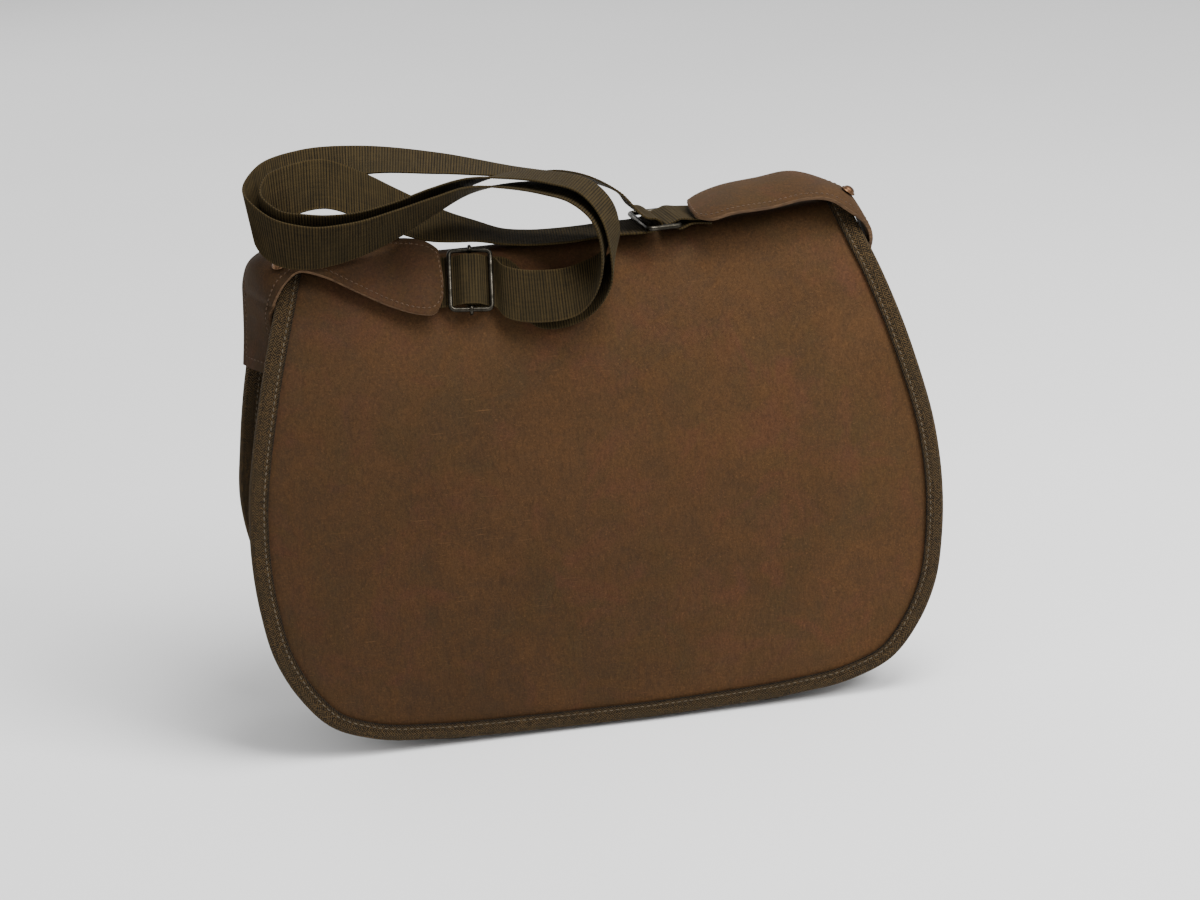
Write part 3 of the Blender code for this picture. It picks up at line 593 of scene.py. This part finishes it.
def webbing_look():
    """Ribbed webbing: ribs across the width, with the warp's yarns showing on them."""
    look = Look("webbing_weave", 0.9, sheen=0.03, sheen_tint=(0.7, 0.6, 0.38), specular=0.12)
    along, across = look.woven()
    rib = look.math("COSINE", look.times(along, 2 * math.pi / RIB))
    yarn = look.math("SINE", look.times(across, 2 * math.pi / 0.7))
    slub = look.noise(1, 3, 0.6, stretch=(700, 45, 1), on=look.uv)
    worn = look.noise(1, 3, 0.6, stretch=(60, 700, 1), on=look.uv)
    fuzz = look.noise(1700, 2, 0.6)
    tone = look.noise(24, 4, 0.6)
    share = look.plus(look.fit(rib, -0.9, 0.5, 0, 0.72), look.fit(yarn, -1, 1, -0.06, 0.1))
    share = look.plus(share, look.fit(slub, 0.3, 0.7, -0.24, 0.24))
    share = look.plus(share, look.fit(worn, 0.3, 0.7, -0.1, 0.14))
    half = WEBBING_WIDTH / 2
    selvedge = look.math("PINGPONG", look.plus(across, half), half)
    share = look.plus(share, look.fit(selvedge, 0.3, 1.4, 0.4, 0))
    share = look.plus(share, look.fit(fuzz, 0.3, 0.7, -0.1, 0.1))
    share = look.node("ShaderNodeClamp", {0: share})
    colour = look.mix(share, (0.0034, 0.0024, 0.001), (0.041, 0.027, 0.0088))
    colour = look.mix(look.fit(tone, 0.42, 0.68, 0, 0.45), colour, (0.0175, 0.0128, 0.0047))
    return look.finish(colour, None, [(rib, 0.35, 0.0003), (yarn, 0.25, 0.0002), (fuzz, 0.3, 0.0003)])


def cloth_look():
    look = Look("gusset_weave", 0.9, sheen=0.1, specular=0.2)
    along, across = look.woven()
    weft = look.math("SINE", look.times(along, 5.5))
    warp = look.math("SINE", look.times(across, 5.5))
    weave = look.times(weft, warp)
    tone = look.noise(30, 4, 0.6)
    colour = look.mix(look.fit(weave, -1, 1, 0.1, 0.8), (0.006, 0.008, 0.008), (0.021, 0.025, 0.022))
    colour = look.mix(look.fit(tone, 0.4, 0.7, 0, 0.5), colour, (0.019, 0.017, 0.01))
    return look.finish(colour, None, [(weave, 0.4, 0.0003)])


def thread_look(name, colour):
    look = Look(name, 0.75, sheen=0.1, specular=0.3)
    fuzz = look.noise(2500, 2, 0.6)
    tone = look.noise(150, 2, 0.5)
    low = [0.5 * value for value in colour]
    mixed = look.mix(look.fit(fuzz, 0.3, 0.7), low, colour)
    mixed = look.mix(look.fit(tone, 0.42, 0.62, 0, 0.75), mixed, [0.45 * value for value in colour])
    return look.finish(mixed, None, [(fuzz, 0.4, 0.0003)])


def metal_look(name, dark, bright, roughness):
    look = Look(name, roughness, 1)
    tarnish = look.noise(190, 5, 0.65)
    spots = look.noise(900, 3, 0.6)
    worn = look.fit(tarnish, 0.42, 0.66)
    colour = look.mix(worn, dark, bright)
    colour = look.mix(look.fit(spots, 0.58, 0.72, 0, 0.6), colour, [0.5 * value for value in dark])
    rough = look.fit(tarnish, 0.35, 0.7, roughness + 0.14, roughness - 0.08)
    return look.finish(colour, rough, [(tarnish, 0.05, 0.0002), (spots, 0.04, 0.0002)])


def add_object(name, data):
    made = bpy.data.objects.new(name, data)
    bpy.context.scene.collection.objects.link(made)
    return made


def add_mesh(name, points, faces, looks, uvs=None, sharp=None):
    """A mesh object. Points are in millimetres and uvs, one per vertex, in metres."""
    mesh = bpy.data.meshes.new(name)
    mesh.from_pydata((np.asarray(points) * MM).tolist(), [], faces)
    for look in looks:
        mesh.materials.append(look)
    if uvs is not None:
        layer = mesh.uv_layers.new(name="UVMap")
        loops = np.zeros(len(mesh.loops), np.int32)
        mesh.loops.foreach_get("vertex_index", loops)
        layer.data.foreach_set("uv", np.asarray(uvs, np.float32)[loops].ravel())
    mesh.shade_smooth()
    if sharp is not None:
        mesh.set_sharp_from_angle(angle=math.radians(sharp))
    return add_object(name, mesh)


def dress(piece, material_slot, *nodes):
    """Rides the piece on the bag and hides the solids that it stands for."""
    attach(piece, "root")
    if nodes:
        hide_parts(*nodes)
    return piece


def grid_faces(rows, columns):
    index = np.arange(rows * columns).reshape(rows, columns)
    quads = np.stack([index[:-1, :-1], index[:-1, 1:], index[1:, 1:], index[1:, :-1]], axis=-1)
    return quads.reshape(-1, 4).tolist()


def sheet(name, grid, thickness, looks, uv, rounding=0.45):
    """An open grid with thickness, and edges that are a little rounded. A second look goes on the edges."""
    grid, uv = np.asarray(grid), np.asarray(uv)
    rows, columns = grid.shape[:2]
    made = add_mesh(name, grid.reshape(-1, 3), grid_faces(rows, columns), looks, uv.reshape(-1, 2))
    solid = made.modifiers.new("thickness", "SOLIDIFY")
    solid.thickness = thickness * MM
    solid.offset = 0.0
    solid.use_even_offset = True
    solid.use_quality_normals = True
    solid.material_offset_rim = len(looks) - 1
    bevel = made.modifiers.new("rounding", "BEVEL")
    bevel.width = rounding * MM
    bevel.segments = 2
    bevel.limit_method = "ANGLE"
    bevel.angle_limit = math.radians(55)
    bevel.use_clamp_overlap = True
    return made


def measure(grid):
    """UV coordinates of a grid, as distances along its middle row and column."""
    grid = np.asarray(grid)
    along = lengths_along(grid[:, grid.shape[1] // 2])
    across = lengths_along(grid[grid.shape[0] // 2])
    return np.stack(np.meshgrid(along, across, indexing="ij"), axis=-1) * MM


def circle(centre, radius, side, other, steps):
    """Points round a centre, from side towards other."""
    angles = np.linspace(0, 2 * math.pi, steps, endpoint=False)[:, None]
    return centre + radius * (np.cos(angles) * side + np.sin(angles) * other)


def ring_faces(starts, sides, slip=0):
    """Faces from each ring of points to the next, where the count starts later by slip."""
    return [(here + s, here + (s + 1) % sides, after + (s + 1 + slip) % sides, after + (s + slip) % sides)
            for here, after in zip(starts, starts[1:]) for s in range(sides)]


def caps(first, last, sides):
    """Faces that close the first and the last ring."""
    return [tuple(range(first + sides - 1, first - 1, -1)), tuple(range(last, last + sides))]


def stitches(name, places, outs, look, pitch, length=STITCH_LENGTH, width=STITCH_WIDTH,
             slot="binding_tape"):
    """A row of stitches along a path, as one mesh of short rounded threads that dip in at their ends."""
    places, outs = np.asarray(places), unit(outs)
    run = lengths_along(places)
    count = int(run[-1] / pitch)

    def at(values, distance):
        return np.array([np.interp(distance, run, column) for column in values.T])

    points, faces = [], []
    sides = 6
    for k in range(count):
        middle = (k + 0.5) * run[-1] / count
        out = unit(at(outs, middle))
        along = unit(at(places, middle + length / 2) - at(places, middle - length / 2))
        lean = math.sin(k * 12.9898) * 0.12
        along = unit(along + lean * unit(np.cross(out, along)))
        side = unit(np.cross(out, along))
        first = len(points)
        for share, size, rise in STITCH_PROFILE:
            centre = at(places, middle) + along * share * length / 2 + out * rise * width / 2
            points += circle(centre, size * width / 2, side, out, sides).tolist()
        faces += ring_faces(range(first, len(points), sides), sides)
        faces += caps(first, len(points) - sides, sides)
    return dress(add_mesh(name, points, faces, [look]), slot)


def tube(name, path, radius, look, slot, closed=False, sides=14, replaces=()):
    """A round wire along a path."""
    path = np.asarray(path, float)
    ahead = np.roll(path, -1, axis=0) - np.roll(path, 1, axis=0) if closed else np.gradient(path, axis=0)
    ahead = unit(ahead)
    side = unit(np.cross(ahead[0], (0.3, 0.2, 0.93)))
    rings = []
    for place, direction in zip(path, ahead):
        side = unit(side - np.dot(side, direction) * direction)
        rings.append(circle(place, radius, side, np.cross(direction, side), sides))
    starts = range(0, len(rings) * sides, sides)
    faces = ring_faces(starts, sides)
    if closed:
        start, end = rings[0][0] - path[0], rings[-1][0] - path[-1]
        turn = math.atan2(np.dot(end, np.cross(ahead[0], start)), np.dot(end, start))
        faces += ring_faces([starts[-1], 0], sides, round(turn / (2 * math.pi / sides)))
    else:
        faces += caps(0, starts[-1], sides)
    return dress(add_mesh(name, np.concatenate(rings), faces, [look]), slot, *replaces)


def rounded_loop(size, corner, arc_steps=8, side_steps=6):
    """Points of a rectangle with round corners, centred on zero."""
    half = np.array(size) / 2 - corner
    points = []
    for quarter, (sx, sy) in enumerate(((1, 1), (-1, 1), (-1, -1), (1, -1))):
        for step in range(arc_steps + 1):
            angle = (quarter + step / arc_steps) * math.pi / 2
            points.append((sx * half[0] + corner * math.cos(angle),
                           sy * half[1] + corner * math.sin(angle)))
    closed = []
    for here, after in zip(points, points[1:] + points[:1]):
        closed.append(here)
        if math.dist(here, after) > 2 * corner:
            closed += [tuple(np.array(here) + (np.array(after) - here) * k / side_steps)
                       for k in range(1, side_steps)]
    return closed


NUBUCK = nubuck_look(
    "nubuck_flap", (0.053, 0.025, 0.009), (0.037, 0.018, 0.0062), (0.036, 0.0208, 0.007))
NUBUCK_TAB = nubuck_look(
    "nubuck_tab", (0.04, 0.0192, 0.0064), (0.026, 0.0126, 0.0042), (0.0275, 0.0162, 0.0056), 0.4)
NUBUCK_BODY = nubuck_look(
    "nubuck_body", (0.043, 0.0205, 0.0075), (0.028, 0.0135, 0.0052), (0.028, 0.018, 0.0075), 0.7)
EDGE = edge_look()
TAPE_LOOK = tape_look("binding_weave", (0.08, 0.048, 0.018), (0.005, 0.0034, 0.0017))
WEBBING_LOOK = webbing_look()
CLOTH_LOOK = cloth_look()
THREAD = thread_look("tan_thread", (0.09, 0.066, 0.036))
TAB_THREAD = thread_look("orange_thread", (0.084, 0.043, 0.017))
NICKEL = metal_look("dark_nickel_worn", (0.02, 0.018, 0.014), (0.062, 0.055, 0.044), 0.32)
BRASS = metal_look("old_brass_worn", (0.085, 0.045, 0.024), (0.34, 0.2, 0.11), 0.34)


def tape_section(leg, first, last):
    """Inset and depth of points round a folded tape, from its first leg over the edge to its last one."""
    side = math.copysign(1.0, first - last)
    middle, half = (first + last) / 2, (first - last) / 2
    turn = [(TAPE_TURN - TAPE_TURN_DEPTH * math.sin(angle), middle + half * math.cos(angle))
            for angle in np.linspace(0, math.pi, 9)[1:-1]]
    return ([(inset, first + side * rise) for inset, rise in leg] + turn
            + [(inset, last - side * rise) for inset, rise in leg[::-1]])


def folded_tape(name, node, section, run, place):
    """Woven tape round an edge. The call of place gives the points at an inset and a depth."""
    grid = np.array([place(inset, depth) for inset, depth in section]).transpose(1, 0, 2)
    across = lengths_along(np.array(section))
    across = np.minimum(across, across[-1] - across)
    uv = np.stack(np.meshgrid(run, across, indexing="ij"), axis=-1) * MM
    dress(sheet(name, grid, TAPE, [TAPE_LOOK], uv, 0.3), "binding_tape", node)


def build_flap():
    rows = FLAP_WIDTHS + [(FLAP_DROP - up, width) for up, width in FLAP_END_WIDTHS]
    outline = Outline(rows + [(FLAP_DROP, 0.0)], inward=-1.0)
    half = outline.curve.points[:len(outline.curve.points) // 2]
    reached = outline.curve.distances[:len(half)]
    first, side_end, tape_start = [np.interp(level, half[:, 1], reached)
                                   for level in (FLAP_TOP, FLAP_SIDE_END, FLAP_TAPE_START)]
    side = np.linspace(first, side_end, int((side_end - first) / FLAP_CELL))
    bottom_end = outline.length - side_end
    bottom = np.linspace(side_end, bottom_end, int((bottom_end - side_end) / FLAP_CELL))
    stations = np.r_[side, bottom[1:-1], (outline.length - side)[::-1]]
    places = patch(outline, EDGE_INSET, stations, len(side) - 1)
    grid = flap_point(places[..., 0], places[..., 1])
    flap = sheet("flap_leather", grid, LEATHER, [NUBUCK, EDGE], places * MM)
    dress(flap, "nubuck", "flap")

    tape_end = outline.length - tape_start
    run = np.linspace(tape_start, tape_end, int((tape_end - tape_start) / TAPE_STEP))

    def place(inset, out):
        spot = outline.at(run, np.full(len(run), inset))
        return flap_point(spot[:, 0], spot[:, 1], out)

    seat = LEATHER / 2 + GAP + TAPE_EASE + TAPE / 2
    folded_tape("flap_tape", "flap_binding", tape_section(FLAP_TAPE_LEG, seat, -seat), run, place)
    seam = outline.at(run, np.full(len(run), FLAP_SEAM))
    out = flap_out(seam[:, 0], seam[:, 1])
    for name, side_of in (("flap_stitches", 1), ("flap_stitches_inside", -1)):
        line = place(FLAP_SEAM, side_of * (seat + TAPE / 2 - 0.07))
        stitches(name, line, side_of * out, THREAD, STITCH_PITCH)
    hem = np.linspace(-HEM_HALF_WIDTH, HEM_HALF_WIDTH, 120)
    down = np.full(len(hem), HEM_DOWN)
    line = flap_point(hem, down, LEATHER / 2 + 0.05)
    stitches("hem_stitches", line, flap_out(hem, down), THREAD, STITCH_PITCH, slot="nubuck")


WEB_SHARES = np.linspace(0.0, 1.0, 17)


class Gusset:
    """The strip between the two panels, read by how far round it a place is."""

    def __init__(self):
        self.back = Outline(BACK_OUTLINE, sway=BODY_SWAY)
        self.front = Outline(FRONT_OUTLINE, sway=BODY_SWAY)

    def ends(self, share, inset):
        """Points at the front and at the back, at an inset from the panels' edges."""
        front = self.front.at(share * self.front.length, inset)
        back = self.back.at(share * self.back.length, inset)
        depth = CLOTH / 2 + GAP
        return (np.array([front[0], front_face(front[1]) + LINING + depth, front[1]]),
                np.array([back[0], BACK_Y - LEATHER - depth, back[1]]))

    def row(self, share):
        near, far = self.ends(share, SEAM_INSET)
        direction = self.ends(share, SEAM_INSET + 1.0)[1] - far
        low = max(0.0, 1.0 - max(0.0, max(near[2], far[2]) - SEAM_INSET - 2.0) / BASE_FADE)
        high = np.interp(far[2], FOLD_LEVELS, (0.0, 1.0))
        side, base = [np.interp(WEB_SHARES, *np.transpose(rows)) for rows in (WEB_FOLD, WEB_BASE)]
        inward = FOLD_IN * smooth_rows(side, 2) * high - (SEAM_INSET - CLOTH / 2) * base * low
        slack = 0.8 * np.sin(share * 71.0 + 2.0 * np.sin(share * 23.0))
        slack = (slack + 0.5 * np.sin(share * 37.0 + 9.0 * WEB_SHARES)) * np.sin(math.pi * WEB_SHARES)
        web = near + (far - near) * WEB_SHARES[:, None] + direction * (inward + slack * (1 - low))[:, None]
        start, end = self.ends(share, EDGE_INSET)
        return np.vstack([start, web, end])


def build_panel(name, outline, face, thickness, inward, node):
    stations = np.linspace(0, outline.length, BODY_STEPS + 1)
    places = patch(outline, EDGE_INSET, stations, BODY_CORNER)
    y = np.asarray(face(places[..., 1])) + inward * thickness / 2
    bow = 0.5 * np.sin(places[..., 0] / 41.0 + 1.0) * np.sin(places[..., 1] / 37.0)
    edge = np.clip(1 - (abs(places[..., 0]) / 160.0)**4, 0, 1) * np.clip(places[..., 1] / 60.0, 0, 1)
    edge = edge * np.clip((225.0 - places[..., 1]) / 30.0, 0, 1)
    grid = np.stack([places[..., 0], y + bow * edge, places[..., 1]], axis=-1)
    panel = sheet(name, grid, thickness, [NUBUCK_BODY, EDGE], places * MM)
    dress(panel, "nubuck", node)


def build_seam_binding(name, outline, face, inward, stack, node):
    outer, inner = -(GAP + TAPE / 2), stack + GAP + TAPE / 2
    run = np.linspace(0, outline.length, SEAM_STEPS)

    def place(inset, depth):
        spot = outline.at(run, np.full(len(run), inset))
        return np.stack([spot[:, 0], face(spot[:, 1]) + inward * depth, spot[:, 1]], axis=-1)

    folded_tape(name, node, tape_section(SEAM_TAPE_LEG, outer, inner), run, place)
    for label, depth, side in (("_stitches", outer, -1), ("_stitches_inside", inner, 1)):
        line = place(BODY_SEAM, depth + side * (TAPE / 2 - 0.05))
        outs = np.tile((0, inward * side, 0), (len(run), 1))
        stitches(name + label, line, outs, THREAD, STITCH_PITCH)


def flat_back(z):
    return np.full(np.shape(z), BACK_Y)


def build_body():
    gusset = Gusset()
    build_panel("back_leather", gusset.back, flat_back, LEATHER, -1, "back_panel")
    build_panel("front_leather", gusset.front, front_face, LINING, 1, "front_panel")
    build_seam_binding("back_tape", gusset.back, flat_back, -1, LEATHER + GAP + CLOTH, "back_binding")
    build_seam_binding("front_tape", gusset.front, front_face, 1, LINING + GAP + CLOTH, "front_binding")
    grid = np.array([gusset.row(share) for share in np.linspace(0, 1, GUSSET_STEPS)])
    cloth = sheet("gusset_cloth", grid, CLOTH, [CLOTH_LOOK], measure(grid), 0.3)
    dress(cloth, "gusset_cloth", "gusset")


def tab_point(row, t):
    front, middle, back = row[..., :3], row[..., 3:6], row[..., 6:]
    t = np.asarray(t)[..., None]
    return front * (1 - t) * (1 - 2 * t) + middle * 4 * t * (1 - t) + back * t * (2 * t - 1)


def build_tab(name, rows, node, rivet_node, rivet_share):
    edges = Curve(rows)
    fine = smooth_rows(edges.at(np.linspace(0, edges.length, TAB_STEPS + 1)), 3)
    t = np.linspace(0, 1, TAB_COLUMNS)
    grid = tab_point(fine[:, None, :], np.tile(t, (len(fine), 1)))
    across = unit(grid[:, -1] - grid[:, 0])
    ahead = unit(np.gradient(fine[:, 3:6], axis=0))
    out = unit(np.cross(ahead, across))
    if out[len(out) * 2 // 3, 2] < 0:
        out = -out
    width = np.linalg.norm(grid[:, -1] - grid[:, 0], axis=1)[:, None]
    from_edge = np.minimum(t, 1 - t)[None] * width
    relief_in = GROOVE_DEPTH * np.exp(-((from_edge - TAB_STITCH_EDGE) / GROOVE_WIDTH)**2)
    if rows is TAB_LEFT_ROWS:
        crease = np.exp(-((np.arange(len(fine)) - CREASE_AT) / CREASE_WIDTH)**2)
        relief_in = relief_in + CREASE_DEPTH * crease[:, None] * (1 - t)**0.7
    grid = grid - out[:, None] * relief_in[..., None]
    piece = dress(sheet(name, grid, LEATHER, [NUBUCK_TAB, EDGE], measure(grid), 0.7), "nubuck", node)

    last = len(fine) - 1 - int(round(TAB_STITCH_EDGE / (edges.length / TAB_STEPS)))
    inset = TAB_STITCH_EDGE / width[:, 0]
    path = [(row, inset[row]) for row in range(TAB_STITCH_START + 1, last + 1)]
    path += [(last, share) for share in np.linspace(inset[last], 1 - inset[last], 14)[1:-1]]
    path += [(row, 1 - inset[row]) for row in range(last, TAB_STITCH_START, -1)]
    path += [(TAB_STITCH_START, share)
             for share in np.linspace(1 - inset[TAB_STITCH_START], inset[TAB_STITCH_START], 12)]
    line = np.array([tab_point(fine[row], share) for row, share in path])
    outward = np.array([out[row] for row, share in path])
    stitches(name + "_stitches", line + outward * (LEATHER / 2 - 0.15), outward, TAB_THREAD,
             TAB_STITCH_PITCH, TAB_STITCH_LENGTH, TAB_STITCH_WIDTH, slot="nubuck")

    rows = np.array(rows)
    place = tab_point(rows[RIVET_ROW], rivet_share)
    run = rows[RIVET_ROW + 1, 3:6] - rows[RIVET_ROW - 1, 3:6]
    normal = unit(np.cross(run, rows[RIVET_ROW, 6:] - rows[RIVET_ROW, :3]))
    build_rivet(rivet_node + "_head", place, normal if normal[2] > 0 else -normal, rivet_node)


def build_rivet(name, place, normal, node):
    """A domed head with a rolled rim and a flat washer under it, turned round its axis."""
    side = unit(np.cross(normal, (0.2, 0.9, 0.1)))
    other = np.cross(normal, side)
    base = np.asarray(place) + normal * (LEATHER / 2 + GAP)
    steps = 28
    rings = [circle(base + normal * height, radius, side, other, steps)
             for radius, height in RIVET_PROFILE[1:-1]]
    top, bottom = [base + normal * RIVET_PROFILE[end][1] for end in (0, -1)]
    points = np.vstack([top, *rings, bottom])
    final = len(points) - 1 - steps
    faces = [(0, 1 + s, 1 + (s + 1) % steps) for s in range(steps)]
    faces += ring_faces(range(final, 0, -steps), steps)
    faces += [(final + s, len(points) - 1, final + (s + 1) % steps) for s in range(steps)]
    dress(add_mesh(name, points, faces, [BRASS]), "old_brass", node)


SLIDER_MIDDLE = flap_middle(SLIDER_X, SLIDER_DOWN)
SLOPE_UP = unit(flap_middle(SLIDER_X, SLIDER_DOWN - SLIDER_REACH)
                - flap_middle(SLIDER_X, SLIDER_DOWN + SLIDER_REACH))
SLOPE_ALONG = unit(flap_middle(SLIDER_X + SLIDER_REACH, SLIDER_DOWN)
                   - flap_middle(SLIDER_X - SLIDER_REACH, SLIDER_DOWN))
SLIDER_OUT = unit(np.cross(SLOPE_ALONG, SLOPE_UP))
SLIDER_UP = math.cos(SLIDER_TURN) * SLOPE_UP + math.sin(SLIDER_TURN) * np.cross(SLOPE_UP, SLIDER_OUT)
SLIDER_ALONG = np.cross(SLIDER_UP, SLIDER_OUT)


def slider_place(along, up, out):
    return SLIDER_MIDDLE + SLIDER_ALONG * along + SLIDER_UP * up + SLIDER_OUT * out


def build_slider():
    size = (SLIDER_SIZE[0] - WIRE, SLIDER_SIZE[1] - WIRE)
    loop = [slider_place(x, y, FRAME_OUT) for x, y in rounded_loop(size, SLIDER_CORNER)]
    tube("slider_frame", loop, WIRE / 2, NICKEL, "dark_nickel", True, 16, ["slider"])
    reach = size[1] / 2
    hook = WIRE / 2 + BAR_WIRE / 2 - 0.1
    path = [(reach - 1.0, FRAME_OUT + hook + 0.1)]
    path += [(reach + hook * math.sin(angle), FRAME_OUT + hook * math.cos(angle))
             for angle in np.linspace(0, math.pi * 0.97, 12)]
    path += [(reach - BAR_BEND, BAR_OUT), (reach - 3.0, BAR_OUT)]
    middle = [(up, BAR_OUT) for up in np.linspace(reach - 5.0, -reach + 5.0, 12)]
    path = path + middle + [(-up, out) for up, out in path[::-1]]
    path = smooth_rows(path, 1)
    bar = [slider_place(0, up, out) for up, out in path]
    tube("slider_bar", bar, BAR_WIRE / 2, NICKEL, "dark_nickel")


RING_X = unit(RING_ALONG)
RING_Y = unit(np.cross((0, 0, 1), RING_X))
RING_Z = np.cross(RING_X, RING_Y)


def ring_place(along, across, up):
    return np.array(RING_MIDDLE) + RING_X * along + RING_Y * across + RING_Z * up


def build_ring():
    size = (RING_SIZE[0] - RING_WIRE, RING_SIZE[1] - RING_WIRE)
    loop = [ring_place(x, y, 0) for x, y in rounded_loop(size, RING_CORNER)]
    tube("ring_wire", loop, RING_WIRE / 2, NICKEL, "dark_nickel", True, 16, ["ring"])


def ribbon(name, rows, node):
    """Ribbed webbing through rows of centre and width direction, as one closed band."""
    route = Curve([(*centre, *unit(width)) for centre, width in rows], place_columns=3)
    count = int(route.length / RIB * RIB_ROWS)
    at = np.linspace(0, route.length, count)
    fine = route.at(at)
    fine[:, :3] = smooth_rows(fine[:, :3], 3)
    width = unit(fine[:, 3:])
    ahead = unit(np.gradient(fine[:, :3], axis=0))
    normal = unit(np.cross(ahead, width))
    rib = np.cos(2 * math.pi * at / RIB)
    half_width, half_thick = WEBBING_WIDTH / 2, WEBBING / 2
    section = WEBBING_TOP + [(-across, -height) for across, height in WEBBING_TOP]
    rings = []
    for across, height in section:
        depth = RIB_DEPTH * np.sign(height) * (abs(height) > 0.7)
        thick = height * half_thick + depth * (rib - 1) / 2
        rings.append(fine[:, :3] + width * across * half_width + normal * thick[:, None])
    points = np.array(rings).transpose(1, 0, 2)
    sides = len(section)
    faces = ring_faces(range(0, count * sides, sides), sides) + caps(0, (count - 1) * sides, sides)
    across = np.array([share if height >= 0 else 2 - share for share, height in section]) * half_width
    uv = np.stack(np.broadcast_arrays(at[:, None], across[None]), axis=-1) * MM
    band = add_mesh(name, points.reshape(-1, 3), faces, [WEBBING_LOOK], uv.reshape(-1, 2), sharp=50)
    dress(band, "webbing", node)


RING_FOLD = RING_WIRE / 2 + GAP + WEBBING / 2 + 0.1
RING_BAR = (RING_SIZE[0] - RING_WIRE) / 2


def strap_rows():
    """Stations of the strap: under the left tab, over the slider's bar, the loops, and the centre bar."""
    on_flap = LEATHER / 2 + GAP + WEBBING / 2
    under_frame = FRAME_OUT - WIRE / 2 - GAP - WEBBING / 2
    turn = BAR_OUT - on_flap
    over_bar = BAR_OUT + turn + WEBBING + 2 * GAP
    edge = SLIDER_SIZE[0] / 2 - WIRE / 2
    over_slider = [
        (-27, on_flap), (-20, on_flap + 0.2), (-15, under_frame - 1.0), (-edge - 0.7, under_frame),
        (-9.3, under_frame + 0.5), (-4.2, over_bar - 0.4), (0, over_bar), (4.2, over_bar - 0.4),
        (9.3, under_frame + 0.5), (edge + 0.7, under_frame),
    ]
    rows = [(slider_place(along, 0, out), SLIDER_UP) for along, out in over_slider]
    rows += [(row[:3], row[3:]) for row in FIRST_LAYER]
    for angle in (90, 50, 15, -15, -50, -90):
        along = (RING_FOLD + FOLD_SLACK) * math.cos(math.radians(angle)) - RING_BAR
        height = (RING_FOLD + FOLD_RISE * (angle > 0)) * math.sin(math.radians(angle))
        rows.append((ring_place(along, 0, height), -RING_Y))
    rows += [(row[:3], row[3:]) for row in SECOND_LAYER]
    x, down = LAST_ON_FLAP
    slope = flap_middle(x, down - 5) - flap_middle(x, down + 5)
    rows.append((flap_middle(x, down) + (on_flap + 1.6) * flap_out(x, down), slope))
    for along, out in ((edge + 6, on_flap + 0.8), (edge, on_flap + 0.3), (4, on_flap)):
        rows.append((slider_place(along, 0, out), SLIDER_UP))
    for angle in (-90, -135, 180, 135, 90):
        angle = math.radians(angle)
        place = slider_place(turn * math.cos(angle), 0, BAR_OUT + turn * math.sin(angle))
        rows.append((place, SLIDER_UP))
    rows.append((slider_place(4, 0, BAR_OUT + turn), SLIDER_UP))
    return rows


def build_webbing():
    ribbon("strap_webbing", strap_rows(), "strap")
    rows = [(RING_BAR + along, height) for along, height in TAB_WEBBING_ENDS]
    for angle in (90, 135, 180, 225, 270):
        slack = TAB_FOLD_SLACK * (angle == 180)
        along = RING_BAR + (RING_FOLD + slack) * math.cos(math.radians(angle))
        rows.append((along, RING_FOLD * math.sin(math.radians(angle))))
    rows += [(RING_BAR + along, height - TAB_WEBBING_APART) for along, height in TAB_WEBBING_ENDS[::-1]]
    ribbon("tab_loop", [(ring_place(along, 0, height), RING_Y) for along, height in rows], "tab_webbing")


def add_light(name, place, size, power):
    data = bpy.data.lights.new(name, "AREA")
    data.shape = "RECTANGLE"
    data.size, data.size_y = size
    data.energy = power
    turn = (Vector(AIM) - Vector(place)).to_track_quat("-Z", "Y")
    add_object(name, data).matrix_world = Matrix.Translation(place) @ turn.to_matrix().to_4x4()


def build_stage():
    """The photograph's camera, a pale floor and soft light."""
    turn = (Matrix.Rotation(-CAMERA_AZIMUTH, 3, "Z")
            @ Matrix.Rotation(math.pi / 2 - CAMERA_ELEVATION, 3, "X") @ Matrix.Rotation(CAMERA_ROLL, 3, "Z"))
    eye = Vector(AIM) + turn.col[2] * CAMERA_DISTANCE
    data = bpy.data.cameras.new("camera")
    data.sensor_width = 36.0
    data.lens = data.sensor_width * PIXELS_PER_MM * CAMERA_DISTANCE / MM / PHOTO_SIZE[0]
    data.shift_x = (PHOTO_SIZE[0] / 2 - AIM_PIXEL[0]) / PHOTO_SIZE[0]
    data.shift_y = (AIM_PIXEL[1] - PHOTO_SIZE[1] / 2) / PHOTO_SIZE[0]
    camera = add_object("camera", data)
    camera.matrix_world = Matrix.Translation(eye) @ turn.to_4x4()
    bpy.context.scene.camera = camera

    mesh = bpy.data.meshes.new("floor")
    corners = [(-FLOOR, -FLOOR, 0), (FLOOR, -FLOOR, 0), (FLOOR, FLOOR, 0), (-FLOOR, FLOOR, 0)]
    mesh.from_pydata(corners, [], [(0, 1, 2, 3)])
    floor = add_object("floor", mesh)
    look = Look("pale_floor", 0.9, specular=0.1)
    tone = look.fit(look.noise(3, 2, 0.5), 0.3, 0.7)
    mesh.materials.append(look.finish(look.mix(tone, (0.8, 0.8, 0.8), (0.82, 0.82, 0.82))))

    world = bpy.data.worlds.new("studio")
    bpy.context.scene.world = world
    world.use_nodes = True
    background = world.node_tree.nodes["Background"]
    background.inputs["Color"].default_value = (1, 1, 1, 1)
    background.inputs["Strength"].default_value = DAYLIGHT
    for name, place, size, power in LIGHTS:
        add_light(name, place, size, power)


build_stage()
build_flap()
build_body()
build_tab("tab_left_leather", TAB_LEFT_ROWS, "tab_left", "rivet_left", 0.28)
build_tab("tab_right_leather", TAB_RIGHT_ROWS, "tab_right", "rivet_right", 0.5)
build_slider()
build_ring()
build_webbing()
